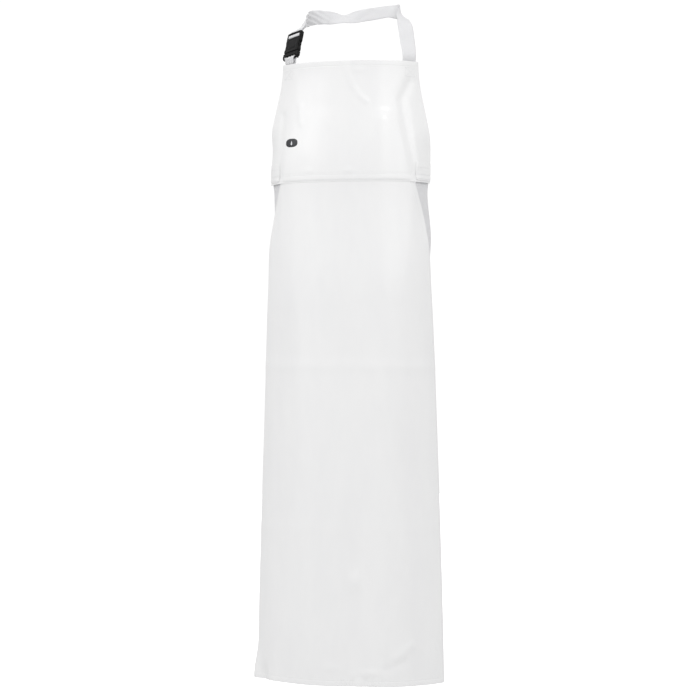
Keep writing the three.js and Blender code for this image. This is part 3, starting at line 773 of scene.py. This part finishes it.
def mottle_group():
    """Uneven tone and gloss in soft clouds, drawn out along the hang."""
    group, start, end = node_group(
        "Soft mottling",
        {"Vector": (0, 0, 0), "Light": (1, 1, 1, 1), "Dark": (0.9, 0.9, 0.9, 1),
         "Gloss low": 0.3, "Gloss high": 0.4, "Scale": 1.0}, {"Color": 4, "Roughness": 1})
    mapping = group.nodes.new("ShaderNodeMapping")
    mapping.inputs["Scale"].default_value = (1.0, 1.0, 0.35)
    scaled = group.nodes.new("ShaderNodeVectorMath")
    scaled.operation = "SCALE"
    join(group, (start.outputs["Vector"], mapping.inputs["Vector"]),
         (mapping.outputs["Vector"], scaled.inputs[0]),
         (start.outputs["Scale"], scaled.inputs["Scale"]))
    both = plus(group, times(group, noise(group, scaled.outputs[0], 16.0, 4.0), 0.7),
                times(group, noise(group, scaled.outputs[0], 70.0, 2.0), 0.3))
    share = spread(group, both, 0.0, 1.0)
    light, dark, mixed = color_mix(group, share)
    room = math_node(group, "SUBTRACT", start.outputs["Gloss high"], start.outputs["Gloss low"])
    gloss = plus(group, start.outputs["Gloss low"], times(group, room, share))
    join(group, (start.outputs["Light"], light), (start.outputs["Dark"], dark),
         (mixed, end.inputs["Color"]), (gloss, end.inputs["Roughness"]))
    return group


def grain_group():
    """Fine leathery grain, as a height."""
    group, start, end = node_group("Fine grain", {"Vector": (0, 0, 0), "Scale": 900.0},
                                   {"Height": 1})
    cells = group.nodes.new("ShaderNodeTexVoronoi")
    cells.feature = "SMOOTH_F1"
    dust = group.nodes.new("ShaderNodeTexNoise")
    dust.inputs["Detail"].default_value = 2.0
    height = plus(group, times(group, cells.outputs["Distance"], 0.6),
                  times(group, dust.outputs["Fac"], 0.6))
    join(group, (start.outputs["Vector"], cells.inputs["Vector"]),
         (start.outputs["Scale"], cells.inputs["Scale"]),
         (start.outputs["Vector"], dust.inputs["Vector"]),
         (times(group, start.outputs["Scale"], 1.7), dust.inputs["Scale"]),
         (height, end.inputs["Height"]))
    return group


def weave_group():
    """Woven webbing: ribs across the strap and cords along it."""
    group, start, end = node_group(
        "Woven ribs", {"Vector": (0, 0, 0), "Rib pitch": 0.0016, "Cord pitch": 0.0021,
                       "Slant": 0.5}, {"Height": 1, "Shade": 1})
    axes = group.nodes.new("ShaderNodeSeparateXYZ")
    join(group, (start.outputs["Vector"], axes.inputs[0]))
    across, along = axes.outputs[0], axes.outputs[1]
    zig = math_node(group, "PINGPONG", across, 0.0042)
    leaned = plus(group, along, times(group, zig, start.outputs["Slant"]))

    def wave(value, pitch, weight):
        turns = times(group, math_node(group, "DIVIDE", value, start.outputs[pitch]), math.tau)
        return times(group, math_node(group, "SINE", turns), weight)

    both = plus(group, wave(leaned, "Rib pitch", 0.35), wave(across, "Cord pitch", 0.25))
    fuzz = noise(group, start.outputs["Vector"], 2600.0, 2.0)
    height = plus(group, both, times(group, fuzz, 0.5))
    # Shade is painted shade: a share that is lower where the height is low, so the grooves between
    # ribs and cords are coloured darker.
    join(group, (height, end.inputs["Height"]),
         (plus(group, times(group, height, 0.45), 0.45), end.inputs["Shade"]))
    return group


def new_material(name, strength, depth, **finish):
    """A material with a Principled BSDF and a Bump node."""
    material = bpy.data.materials.new(name)
    material.use_nodes = True
    tree = material.node_tree
    shader = tree.nodes["Principled BSDF"]
    for label, value in finish.items():
        shader.inputs[label.replace("_", " ")].default_value = value
    bump = tree.nodes.new("ShaderNodeBump")
    bump.inputs["Strength"].default_value = strength
    bump.inputs["Distance"].default_value = depth
    join(tree, (bump.outputs["Normal"], shader.inputs["Normal"]))
    return tree, shader, bump


def use_group(tree, group, **values):
    """Places a node group and sets the values of its inputs."""
    node = tree.nodes.new("ShaderNodeGroup")
    node.node_tree = group
    for label, value in values.items():
        node.inputs[label.replace("_", " ")].default_value = value
    return node


def woven_material(name, groups, tone, uv_name, threads, strength, depth, **finish):
    """Cloth or webbing whose ribs follow the piece's own map, with painted shade in the grooves
    between them.
    """
    tree, shader, bump = new_material(name, strength, depth, **finish)
    weave = use_group(tree, groups["weave"], **threads)
    # The dark tone is a shaded copy of the tone, mixed in by the Shade share to paint shade into
    # the grooves.
    dark, light, mixed = color_mix(tree, weave.outputs["Shade"])
    dark.default_value = (tone[0] * 0.86, tone[1] * 0.86, tone[2] * 0.87, 1)
    light.default_value = (*tone, 1)
    uv = tree.nodes.new("ShaderNodeUVMap")
    uv.uv_map = uv_name
    join(tree, (uv.outputs["UV"], weave.inputs["Vector"]), (mixed, shader.inputs["Base Color"]),
         (weave.outputs["Height"], bump.inputs["Height"]))


def grained_material(name, groups, tone, dark, roughness, scale, strength, depth=0.0002,
                     gloss=(-0.06, 0.08), clouds=4.0, **finish):
    """A material with mottled tone and gloss over a fine grain."""
    tree, shader, bump = new_material(name, strength, depth, Roughness=roughness, **finish)
    place = tree.nodes.new("ShaderNodeTexCoord")
    mottle = use_group(tree, groups["mottle"], Light=(*tone, 1), Dark=(*dark, 1),
                       Gloss_low=roughness + gloss[0], Gloss_high=roughness + gloss[1],
                       Scale=clouds)
    grain = use_group(tree, groups["grain"], Scale=scale)
    join(tree, (place.outputs["Object"], mottle.inputs["Vector"]),
         (place.outputs["Object"], grain.inputs["Vector"]),
         (mottle.outputs["Color"], shader.inputs["Base Color"]),
         (mottle.outputs["Roughness"], shader.inputs["Roughness"]),
         (grain.outputs["Height"], bump.inputs["Height"]))


def materials():
    """Every finish of the apron, made on the first call and found by name after that."""
    if "Coated sheet, face" in bpy.data.materials:
        return bpy.data.materials
    looks = bpy.context.scene.apron_looks
    groups = {"mottle": mottle_group(), "grain": grain_group(), "weave": weave_group()}
    sheet, plastic = looks.sheet_color, tuple(looks.plastic_color)
    # Name, light and dark tones, roughness, and the grain's scale and strength.
    grained_material("Coated sheet, face", groups, sheet,
                     (sheet[0] * 0.955, sheet[1] * 0.955, sheet[2] * 0.96), looks.gloss, 1100.0,
                     0.12, 0.00025, (-0.05, 0.07), 0.6, Coat_Weight=looks.coat,
                     Coat_Roughness=0.12)
    grained_material("Black buckle plastic", groups, plastic, tuple(c * 0.6 for c in plastic),
                     0.42, 2600.0, 0.22, Specular_IOR_Level=0.14)
    grained_material("Sewing thread", groups, (0.84, 0.84, 0.85), (0.74, 0.74, 0.75), 0.6,
                     5200.0, 0.6, Sheen_Weight=0.2)
    grained_material("Badge film", groups, (0.022, 0.024, 0.030), (0.015, 0.016, 0.020), 0.33,
                     1900.0, 0.1)
    grained_material("Badge ink", groups, (0.75, 0.76, 0.78), (0.62, 0.63, 0.66), 0.4, 1900.0,
                     0.1)
    grained_material("Label satin", groups, (0.85, 0.85, 0.84), (0.78, 0.78, 0.77), 0.45,
                     3800.0, 0.4)
    woven_material("Coated sheet, backing", groups, looks.backing_color, "Flat",
                   {"Rib_pitch": 0.0011, "Cord_pitch": 0.0009, "Slant": 0.0}, 0.45, 0.0002,
                   Roughness=0.75, Specular_IOR_Level=0.3, Sheen_Weight=0.15)
    woven_material("White webbing", groups, looks.webbing_color, "Weave",
                   {"Rib_pitch": 0.0019, "Cord_pitch": 0.0016, "Slant": 0.7}, 0.8, 0.0004,
                   Roughness=0.72, Specular_IOR_Level=0.35, Sheen_Weight=0.2)
    return bpy.data.materials


def hand_in(piece, node, slot, body, *finishes):
    """Gives a piece its materials and its body, and hides the CAD node that it stands for. Its slot
    is not used.
    """
    piece.data.materials.clear()
    for name in finishes:
        piece.data.materials.append(materials()[name])
    if body:
        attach(piece, body)
    if node:
        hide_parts(node)


# ---- Settings ----
def color(name, description, default):
    """A colour setting."""
    return bpy.props.FloatVectorProperty(name=name, description=description, size=3,
                                         subtype="COLOR", default=default, min=0, max=1)


def number(name, description, default, low, high, **options):
    """A setting that is one number."""
    return bpy.props.FloatProperty(name=name, description=description, default=default, min=low,
                                   max=high, **options)


class ApronLooks(bpy.types.PropertyGroup):
    """Colours and finishes that a user may change."""

    sheet_color: color("Sheet", "Colour of the coated sheet", (0.875, 0.875, 0.875))
    backing_color: color("Backing", "Colour of the cloth behind the coating", (0.80, 0.80, 0.79))
    webbing_color: color("Webbing", "Colour of the straps", (0.83, 0.83, 0.84))
    plastic_color: color("Buckles", "Colour of the buckles", (0.006, 0.006, 0.0064))
    gloss: number("Roughness", "Mean roughness of the coating", 0.35, 0.05, 1.0,
                  subtype="FACTOR")
    coat: number("Clear coat", "Weight of the coating's clear layer", 0.35, 0, 1,
                 subtype="FACTOR")


class ApronSizes(bpy.types.PropertyGroup):
    """Sizes of the details that the frame leaves open."""

    stitch_pitch: number("Stitch pitch", "Distance between stitches", 0.0038, 0.002, 0.01,
                         unit="LENGTH")
    neck_tail: number("Neck tail", "Loose end of the neck strap past its buckle", 0.028, 0.0, 0.1,
                      unit="LENGTH")
    waist_tail: number("Waist tail", "Loose end of the waist strap past its buckle", 0.026, 0.0,
                       0.1, unit="LENGTH")
    buckle_voxel: number("Buckle fineness", "Grid that the buckles are smoothed on", 0.00042,
                         0.0002, 0.001, unit="LENGTH", precision=5)
    camera_distance: number("Camera distance", "From the apron's front to the camera", 3.5, 0.5,
                            20, unit="LENGTH")
    camera_turn: number("Camera turn", "Camera's turn towards the wearer's left",
                        math.radians(10), -math.pi, math.pi, unit="ROTATION")


# ---- Sewn ends ----
CORNER_ARC = BIB_HALF - 0.019
NECK_LAP = 0.034
CORNER_SPARE = 0.0003
BACKER_SIZE = 0.042
TAB_BOTTOM = BIB_BOTTOM + 0.003
TAB_HEIGHT = 0.038
TAB_ARC = WING_EDGE - WAIST_WIDTH / 2 - 0.001
TAB_LIFT = BIB_LIFT + SHEET + LAYER_GAP


def curve_sag(arc, z, width):
    """How far the middle of flat webbing stands off a sheet that curves across its width."""
    turn = float(heading(np.array(arc), np.array(z), np.array(1.0)))
    middle = wrap(arc, z)
    edges = [wrap(arc + share * width, z) - middle for share in (-0.5, 0.5)]
    return max(e[1] * math.cos(turn) - e[0] * math.sin(turn) for e in edges)


def along_sheet(arc, z, sign):
    """The level direction along the sheet at a place, pointing to sign."""
    turn = float(heading(np.array(abs(arc)), np.array(z), np.array(math.copysign(1, arc))))
    return np.array([sign * math.cos(turn), sign * math.copysign(1, arc) * math.sin(turn), 0.0])


def sewn_lift(layer):
    """The middle of webbing sewn inside the corner backer, or of a second layer under it."""
    backer = BIB_LIFT - SHEET - LAYER_GAP
    sag = curve_sag(CORNER_ARC, BIB_TOP, NECK_WIDTH)
    return (backer - LAYER_GAP - sag - CORNER_SPARE - WEBBING / 2
            - layer * (WEBBING + LAYER_GAP))


def neck_tail(length):
    """The neck strap's loose end, which lies under the strap."""
    return [(NECK.point(-0.0085 * length / 0.028, BUCKLE_END + length * 0.86, -0.0215),
             (0.62, -0.72, 0.30)),
            (NECK.point(-0.0022, BUCKLE_END + 0.010, -0.0085), (0.80, -0.52, 0.25))]


def waist_tail(length):
    """The waist strap's loose end, which lies flat behind the strap."""
    return [(WAIST.point(0, BUCKLE_END + length, -0.0060), WAIST.across)]


def neck_route():
    """The neck strap from the buckle round the back of the neck to the left corner."""
    corner = wrap(CORNER_ARC, BIB_TOP)
    way = along_sheet(CORNER_ARC, BIB_TOP, -1)

    def over(x, y, z):
        return corner + np.array([x, y, z])

    def sewn(z):
        return wrap(CORNER_ARC, z, sewn_lift(0))

    return [
        (NECK.point(-0.011, 0.094, -0.0183), (0.62, -0.72, 0.30)),
        (NECK.point(-0.019, 0.1145, -0.0305), (0.46, -0.70, 0.45)),
        ((-0.106, -0.033, -0.016), (0.25, -0.25, 0.93)),
        ((-0.095, -0.014, -0.007), (0.1, 0.1, 0.95)),
        ((-0.068, -0.003, -0.006), (0, 0.25, 0.93)),
        ((-0.035, 0.0008, -0.009), (0, 0.72, 0.68)),
        ((0, 0.0012, -0.004), (0, 0.35, 0.92)),
        ((0.036, -0.002, 0), (0, 0.4, 0.92)),
        ((0.066, -0.012, 0.001), (0.1, 0.45, 0.88)),
        ((0.086, -0.030, -0.005), (-0.35, 0.25, 0.9)),
        ((0.097, -0.054, -0.023), (-0.75, 0.1, 0.55)),
        (over(-0.016, 0.054, 0.076), (-0.95, -0.1, 0.2)),
        (over(-0.009, 0.031, 0.046), (-0.95, -0.3, 0.1)),
        (sewn(BIB_TOP + 0.012), way),
        (sewn(BIB_TOP - 0.004), way),
        (sewn(BIB_TOP - NECK_LAP), way),
    ]


def neck_relief(s, x):
    """Slanted puckers where the neck strap turns over the shoulder, and a slight cupping."""
    turn = bump(s, 0.160, 0.030)
    puckers = 0.0015 * turn * np.sin(math.tau * (s * 0.60 + x) / 0.0125)
    left = bump(s, 0.270, 0.026)
    return puckers + 0.0008 * left * np.sin(math.tau * (x - s * 0.4) / 0.022)


def stub_route():
    """The folded stub: both ends sewn inside the bib's right corner, round the plug's bar."""
    skin = BAR_SKIN + LAYER_GAP
    way = along_sheet(-CORNER_ARC, BIB_TOP, 1)
    return [
        (wrap(-CORNER_ARC, BIB_TOP - NECK_LAP, sewn_lift(0)), way),
        (wrap(-CORNER_ARC, BIB_TOP - 0.003, sewn_lift(0)), way),
        (wrap(-CORNER_ARC, BIB_TOP + 0.0045, 0.0012), way),
        (NECK.point(0, PLUG_BAR_Y - 0.002, skin + 0.0008), NECK.across),
        *bar_turn(NECK, PLUG_BAR_Y, skin, 1),
        (NECK.point(0, PLUG_BAR_Y - 0.002, -skin), NECK.across),
        (wrap(-CORNER_ARC, BIB_TOP - 0.003, sewn_lift(1)), way),
        (wrap(-CORNER_ARC, BIB_TOP - NECK_LAP, sewn_lift(1)), way),
    ]


def stub_relief(s, x):
    """Gathers that run up the stub into the buckle."""
    gather = smooth((s - 0.020) / 0.016) * smooth((0.075 - s) / 0.02)
    return 0.0006 * gather * np.sin(math.tau * x / 0.0075 + 0.8)


def waist_side(side):
    """The waist strap from the middle of its loop up to the tab."""
    lift = (BIB_LIFT - LAYER_GAP - curve_sag(TAB_ARC, TAB_BOTTOM, WAIST_WIDTH) - 0.002
            - WEBBING / 2)
    tab = wrap(TAB_ARC, TAB_BOTTOM, lift)
    way = along_sheet(side * TAB_ARC, TAB_BOTTOM, -side)
    low, deep = 0.393, 0.059
    places = [((0.45, deep - 0.001, low - 0.007), (0, -1, 0)),
              ((0.67, deep - 0.003, low - 0.032), (0, -1, 0)),
              ((0.85, deep - 0.006, low - 0.072), (0, -1, 0)),
              ((0.963, deep - 0.012, low - 0.132), (0, -1, 0)),
              ((1.017, deep - 0.022, low - 0.207), (-side * 0.15, -0.98, 0)),
              ((1.038, deep - 0.037, low - 0.292), (-side * 0.35, -0.94, 0))]
    stops = [((side * tab[0] * share, tab[1] + back, tab[2] - drop), across)
             for (share, back, drop), across in places]
    for z, extra in ((BIB_BOTTOM - 0.026, -0.003), (TAB_BOTTOM, 0.0),
                     (TAB_BOTTOM + TAB_HEIGHT - 0.006, 0.0)):
        stops.append((wrap(side * TAB_ARC, z, lift + extra), way))
    return stops


def sheet_line(arcs, heights, lift, relief):
    """A line drawn on the bib through places given by arc and height."""
    arcs, heights = np.broadcast_arrays(np.asarray(arcs, float), np.asarray(heights, float))
    return wrap(arcs, heights, lift + relief(arcs, heights)), outward(arcs, heights)


def sewn_box(arc, top, bottom, width, inset):
    """A box with crossed lines on the bib's face, over a strap's end."""
    half = width / 2 - inset
    corners = [(arc - half, top), (arc + half, top), (arc + half, bottom), (arc - half, bottom)]
    lines = []
    for start, end in ((0, 1), (1, 2), (2, 3), (3, 0), (0, 2), (1, 3)):
        places = np.linspace(corners[start], corners[end], 14)
        lines.append(sheet_line(places[:, 0], places[:, 1], BIB_LIFT + SHEET, bib_relief))
    return lines


# ---- Operators ----
class APRON_OT_panels(bpy.types.Operator):
    """Make the bib and the skirt with their hems, folds and creases"""

    bl_idname = "apron.panels"
    bl_label = "Bib and skirt"

    def execute(self, context):
        sides = ("side_left", "side_right")
        for name, top, bottom, half, relief, lift, hem in (
                ("bib", BIB_TOP, BIB_BOTTOM, bib_half, bib_relief, BIB_LIFT, "top"),
                ("skirt", SKIRT_TOP, SKIRT_BOTTOM, skirt_half, skirt_relief, 0.0, "bottom")):
            piece, back = hung_sheet(name, top, bottom, half, relief, lift, (hem, *sides))
            hand_in(piece, f"{name}_panel", "coated_sheet", "root", "Coated sheet, face",
                    "Coated sheet, backing")
            piece.data.polygons.foreach_set("material_index", back)
        return {"FINISHED"}


class APRON_OT_tabs(bpy.types.Operator):
    """Make the waist tabs and the patches behind the bib's corners"""

    bl_idname = "apron.tabs"
    bl_label = "Tabs and corner patches"

    def execute(self, context):
        for side, name in ((1, "left"), (-1, "right")):
            tab = patch(f"{name}_tab", side * TAB_ARC, WAIST_WIDTH + 0.002,
                        TAB_BOTTOM + TAB_HEIGHT, TAB_HEIGHT, TAB_LIFT - 0.0001, SHEET, 0.005,
                        bib_relief, 0.00025)
            backer = patch(f"{name}_corner_backer", side * (BIB_HALF - 0.024), BACKER_SIZE,
                           BIB_TOP - 0.003, BACKER_SIZE, BIB_LIFT - SHEET - LAYER_GAP - 0.0006,
                           SHEET, 0.004, bib_relief, 0.0002)
            for piece, node in ((tab, f"{name}_waist_tab"), (backer, f"{name}_corner_patch")):
                hand_in(piece, node, "coated_sheet", "root", "Coated sheet, face")
        return {"FINISHED"}


class APRON_OT_straps(bpy.types.Operator):
    """Make the neck strap, its stub and the two halves of the waist strap"""

    bl_idname = "apron.straps"
    bl_label = "Straps"

    def execute(self, context):
        sizes = context.scene.apron_sizes
        neck = strap("neck_webbing", ladder_wrap(NECK, neck_tail(sizes.neck_tail)) + neck_route(),
                     NECK_WIDTH, neck_relief)
        stub = strap("neck_stub_webbing", stub_route(), NECK_WIDTH - 0.005, stub_relief, 0.0010)
        right = strap("waist_webbing_right",
                      ladder_wrap(WAIST, waist_tail(sizes.waist_tail)) + waist_side(-1),
                      WAIST_WIDTH)
        fold = [(WAIST.point(0, -0.024, -BAR_SKIN), WAIST.across),
                (WAIST.point(0, -0.008, -BAR_SKIN), WAIST.across),
                *bar_turn(WAIST, PLUG_BAR_Y, BAR_SKIN, -1),
                (WAIST.point(0, -0.008, BAR_SKIN), WAIST.across)]
        left = strap("waist_webbing_left", fold + waist_side(1), WAIST_WIDTH)
        for piece, node, body in ((neck, "neck_strap", None), (stub, "neck_stub", "root"),
                                  (right, "waist_strap_right", None),
                                  (left, "waist_strap_left", "root")):
            hand_in(piece, node, "webbing", body, "White webbing")
        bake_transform(neck)
        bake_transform(right)
        return {"FINISHED"}


class APRON_OT_stitching(bpy.types.Operator):
    """Make every row of stitches as single stitches"""

    bl_idname = "apron.stitching"
    bl_label = "Stitching"

    def execute(self, context):
        pitch = context.scene.apron_sizes.stitch_pitch
        made = []
        arcs = np.linspace(-CREASE_LOW + 0.012, CREASE_LOW - 0.012, 160)
        for name, rise in (("lower", STITCH_ROW), ("upper", SEAM_LAP - STITCH_ROW)):
            line = sheet_line(arcs, BIB_BOTTOM + rise, BIB_LIFT + SHEET, bib_relief)
            made.append((stitches(f"seam_stitches_{name}", [line], pitch), f"seam_stitch_{name}"))
        for side, name in ((1, "left"), (-1, "right")):
            across = side * TAB_ARC + np.linspace(-0.017, 0.017, 24)
            rows = [sheet_line(across, TAB_BOTTOM + rise, TAB_LIFT + SHEET - 0.0001, bib_relief)
                    for rise in (0.0035, 0.012, 0.026)]
            made.append((stitches(f"{name}_tab_thread", rows, pitch), f"{name}_tab_stitches"))
        for arc, name in ((CORNER_ARC, "neck_strap"), (-CORNER_ARC, "neck_stub")):
            box = sewn_box(arc, BIB_TOP - 0.0125, BIB_TOP - NECK_LAP + 0.004, NECK_WIDTH, 0.004)
            made.append((stitches(f"{name}_thread", box, pitch * 0.8, 0.0025), f"{name}_stitches"))
        for piece, node in made:
            hand_in(piece, node, "thread", "root", "Sewing thread")
        return {"FINISHED"}


class APRON_OT_buckles(bpy.types.Operator):
    """Make the two side-release buckles with rounded, shaped and ribbed surfaces"""

    bl_idname = "apron.buckles"
    bl_label = "Buckles"

    def execute(self, context):
        voxel = context.scene.apron_sizes.buckle_voxel
        for prefix, seat, width in (("neck", NECK, NECK_WIDTH), ("waist", WAIST, WAIST_WIDTH)):
            half = width / 2 + 0.004
            for kind, body, shape in (
                    ("socket", f"{prefix}_socket", shape_socket(half)),
                    ("plug", "root", shape_plug(half + 0.001)),
                    ("arm_left", f"{prefix}_arm_left", shape_arm(half)),
                    ("arm_right", f"{prefix}_arm_right", shape_arm(half))):
                node = f"{prefix}_buckle_{kind}"
                piece = moulded(f"{prefix}_{kind}", node, seat, voxel, shape)
                hand_in(piece, node, "buckle_plastic", body, "Black buckle plastic")
        return {"FINISHED"}


def badge_outline(width, height, count):
    """Points round an oval that is a little squared."""
    turn = np.linspace(0, math.tau, count, endpoint=False)
    power = 2 / 2.6
    c, s = np.cos(turn), np.sin(turn)
    return np.stack([np.sign(c) * np.abs(c) ** power * width / 2,
                     np.sign(s) * np.abs(s) ** power * height / 2], -1)


def film(name, place, outline, rings, low, high):
    """A thin flat shape on the bib from an outline of (along, up) points round its middle."""
    count = len(outline)
    verts, uvs = [], []
    for share, lift in rings:
        arc, z = np.array(place)[:, None] + outline.T * share
        verts.append(wrap(arc, z, low + (high - low) * lift + bib_relief(arc, z)))
        uvs.append(np.stack([arc, z], -1))
    last = (len(rings) - 1) * count
    faces = [[r + k, r + (k + 1) % count, r + count + (k + 1) % count, r + count + k]
             for r in range(0, last, count) for k in range(count)]
    faces += [list(range(count))[::-1], list(range(last, last + count))]
    return new_piece(name, np.concatenate(verts), faces, np.concatenate(uvs))


class APRON_OT_badge(bpy.types.Operator):
    """Make the chest badge: a plain dark oval with a pale drop"""

    bl_idname = "apron.badge"
    bl_label = "Badge"

    def execute(self, context):
        place = (-0.112, BIB_TOP - 0.160)
        base, top = BIB_LIFT + SHEET, BIB_LIFT + SHEET + 0.0004
        body = film("badge", place, badge_outline(0.028, 0.017, 72),
                    [(0.2, 0), (0.97, 0), (1.0, 0.35), (0.985, 0.8), (0.95, 1), (0.5, 1),
                     (0.1, 1)], base, top)
        turn = np.linspace(0, math.tau, 40, endpoint=False)
        drop = np.stack([0.0026 * np.sin(turn) * np.sin(turn / 2) ** 1.5,
                         0.0045 * np.cos(turn)], -1)[::-1]
        mark = film("badge_drop", place, drop,
                    [(0.2, 0), (1.0, 0), (1.0, 0.7), (0.9, 1), (0.2, 1)], top, top + 0.0001)
        hand_in(body, "chest_badge", "badge_film", "root", "Badge film")
        hand_in(mark, None, "badge_film", "root", "Badge ink")
        return {"FINISHED"}


class APRON_OT_label(bpy.types.Operator):
    """Make the care label sewn inside the waist seam"""

    bl_idname = "apron.label"
    bl_label = "Care label"

    def execute(self, context):
        low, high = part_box("care_label")

        def curl(arc, z):
            return -0.0035 * smooth((SKIRT_TOP - 0.012 - z) / 0.034) ** 2 + body_relief(arc, z)

        label = patch("label", 0.060, 0.034, SKIRT_TOP - 0.001, high.z - low.z, -0.00075, 0.0004,
                      0.001, curl, 0.0)
        hand_in(label, "care_label", "label_cloth", "root", "Label satin")
        return {"FINISHED"}


def soft_light(name, place, target, size, power):
    """A rectangular soft lamp aimed at a point."""
    data = bpy.data.lights.new(name, "AREA")
    data.shape = "RECTANGLE"
    data.size, data.size_y = size
    data.energy = power
    lamp = bpy.data.objects.new(name, data)
    bpy.context.scene.collection.objects.link(lamp)
    lamp.location = place
    lamp.rotation_mode = "QUATERNION"
    lamp.rotation_quaternion = (Vector(target) - Vector(place)).to_track_quat("-Z", "Y")


# ---- Stage ----
LENS, SENSOR = 92.3, 36.0  # millimetres
CAMERA_REACH = 60.0
CAMERA_AIM = (0, -0.200, -0.692)
CAMERA_SHIFT = 0.0131
FLOOR_RADIUS = 7.0
FLOOR_DROP = 0.20
CHEST, HANG = (0, -0.19, -0.3), (-0.1, -0.15, -0.9)
# Name, place, target, size and watts of each lamp.
LAMPS = [
    ("key", (-2.4, -2.4, 1.5), CHEST, (2.4, 1.6), 19),
    ("fill", (2.2, -3.0, 0.9), CHEST, (2.6, 2.0), 19),
    ("low left", (-2.3, -2.2, -0.5), HANG, (1.2, 1.8), 2.5),
    ("gleam", (1.10, -2.3, 1.5), (0.07, -0.2, -0.23), (0.6, 0.35), 4.5),
]


def make_floor():
    """A pale floor well below the apron, which the camera sees as white."""
    bpy.ops.object.select_all(action="DESELECT")
    bpy.ops.mesh.primitive_circle_add(vertices=96, radius=FLOOR_RADIUS, fill_type="NGON",
                                      location=(0, 0, CAD_BOX[0][2] - FLOOR_DROP))
    floor = bpy.context.active_object
    floor.name = "floor"
    paint = bpy.data.materials.new("Pale floor")
    paint.use_nodes = True
    tree = paint.node_tree
    shader = tree.nodes["Principled BSDF"]
    for label, value in (("Base Color", (0.62, 0.62, 0.62, 1)), ("Roughness", 0.9),
                         ("Specular IOR Level", 0.1), ("Emission Color", (1, 1, 1, 1))):
        shader.inputs[label].default_value = value
    rays = tree.nodes.new("ShaderNodeLightPath")
    join(tree, (times(tree, rays.outputs["Is Camera Ray"], 0.9),
                shader.inputs["Emission Strength"]))
    floor.data.materials.append(paint)


def make_sky(scene):
    """A white sky for the camera, and one that is dimmer below for the light."""
    scene.world = bpy.data.worlds.new("Studio air")
    scene.world.use_nodes = True
    sky = scene.world.node_tree
    sky.nodes.clear()
    rays, seen, lit, place, axes, mix, out = (sky.nodes.new(f"ShaderNode{kind}") for kind in (
        "LightPath", "Background", "Background", "TexCoord", "SeparateXYZ", "MixShader",
        "OutputWorld"))
    for air in (seen, lit):
        air.inputs["Color"].default_value = (1, 1, 1, 1)
    seen.inputs["Strength"].default_value = 1.05
    join(sky, (place.outputs["Generated"], axes.inputs[0]),
         (spread(sky, axes.outputs[2], 0.36, 1.05, -1.0, 1.0), lit.inputs["Strength"]),
         (rays.outputs["Is Camera Ray"], mix.inputs[0]), (lit.outputs[0], mix.inputs[1]),
         (seen.outputs[0], mix.inputs[2]), (mix.outputs[0], out.inputs[0]))


def make_camera(scene):
    """A level camera before the apron's front, turned towards the wearer's left."""
    turn = scene.apron_sizes.camera_turn
    back = Vector((math.sin(turn), -math.cos(turn), 0))
    right = Vector((math.cos(turn), math.sin(turn), 0))
    data = bpy.data.cameras.new("camera")
    data.lens, data.sensor_width, data.clip_end = LENS, SENSOR, CAMERA_REACH
    camera = bpy.data.objects.new("camera", data)
    scene.collection.objects.link(camera)
    camera.location = (Vector(CAMERA_AIM) + back * scene.apron_sizes.camera_distance
                       + right * CAMERA_SHIFT)
    camera.rotation_mode = "QUATERNION"
    camera.rotation_quaternion = (-back).to_track_quat("-Z", "Y")
    scene.camera = camera


class APRON_OT_stage(bpy.types.Operator):
    """Make the pale floor, the soft lights, the sky and the camera"""

    bl_idname = "apron.stage"
    bl_label = "Studio"

    def execute(self, context):
        make_floor()
        make_sky(context.scene)
        for lamp in LAMPS:
            soft_light(*lamp)
        context.scene.view_settings.view_transform = "Standard"
        make_camera(context.scene)
        return {"FINISHED"}


class APRON_PT_panel(bpy.types.Panel):
    """The apron's pieces and settings in the sidebar"""

    bl_label = "Butcher apron"
    bl_space_type = "VIEW_3D"
    bl_region_type = "UI"
    bl_category = "Apron"

    def draw(self, context):
        for settings in (context.scene.apron_looks, context.scene.apron_sizes):
            for name in settings.__annotations__:
                self.layout.prop(settings, name)
        for operator in OPERATORS:
            self.layout.operator(operator.bl_idname)


OPERATORS = (APRON_OT_stage, APRON_OT_panels, APRON_OT_tabs, APRON_OT_straps, APRON_OT_stitching,
             APRON_OT_buckles, APRON_OT_badge, APRON_OT_label)
CLASSES = (ApronLooks, ApronSizes, *OPERATORS, APRON_PT_panel)


def register():
    """Adds the classes and the settings to Blender."""
    for cls in CLASSES:
        bpy.utils.register_class(cls)
    bpy.types.Scene.apron_looks = bpy.props.PointerProperty(type=ApronLooks)
    bpy.types.Scene.apron_sizes = bpy.props.PointerProperty(type=ApronSizes)


def unregister():
    """Takes them out again."""
    del bpy.types.Scene.apron_sizes
    del bpy.types.Scene.apron_looks
    for cls in reversed(CLASSES):
        bpy.utils.unregister_class(cls)


def cut_area(half, bottom, top):
    """The flat area of a sheet with a given half width at each height."""
    return float(np.mean(half(np.linspace(bottom, top, 60)) * 2) * (top - bottom))


def declare_sheets():
    """Works out the flat areas that the bib and the skirt were cut to, and keeps neither."""
    cut_area(bib_half, BIB_BOTTOM, BIB_TOP)
    cut_area(skirt_half, SKIRT_BOTTOM, SKIRT_TOP)


def main():
    """Builds the whole scene."""
    register()
    for operator in OPERATORS:
        group, name = operator.bl_idname.split(".")
        getattr(getattr(bpy.ops, group), name)()
    declare_sheets()


if __name__ == "__main__":
    main()
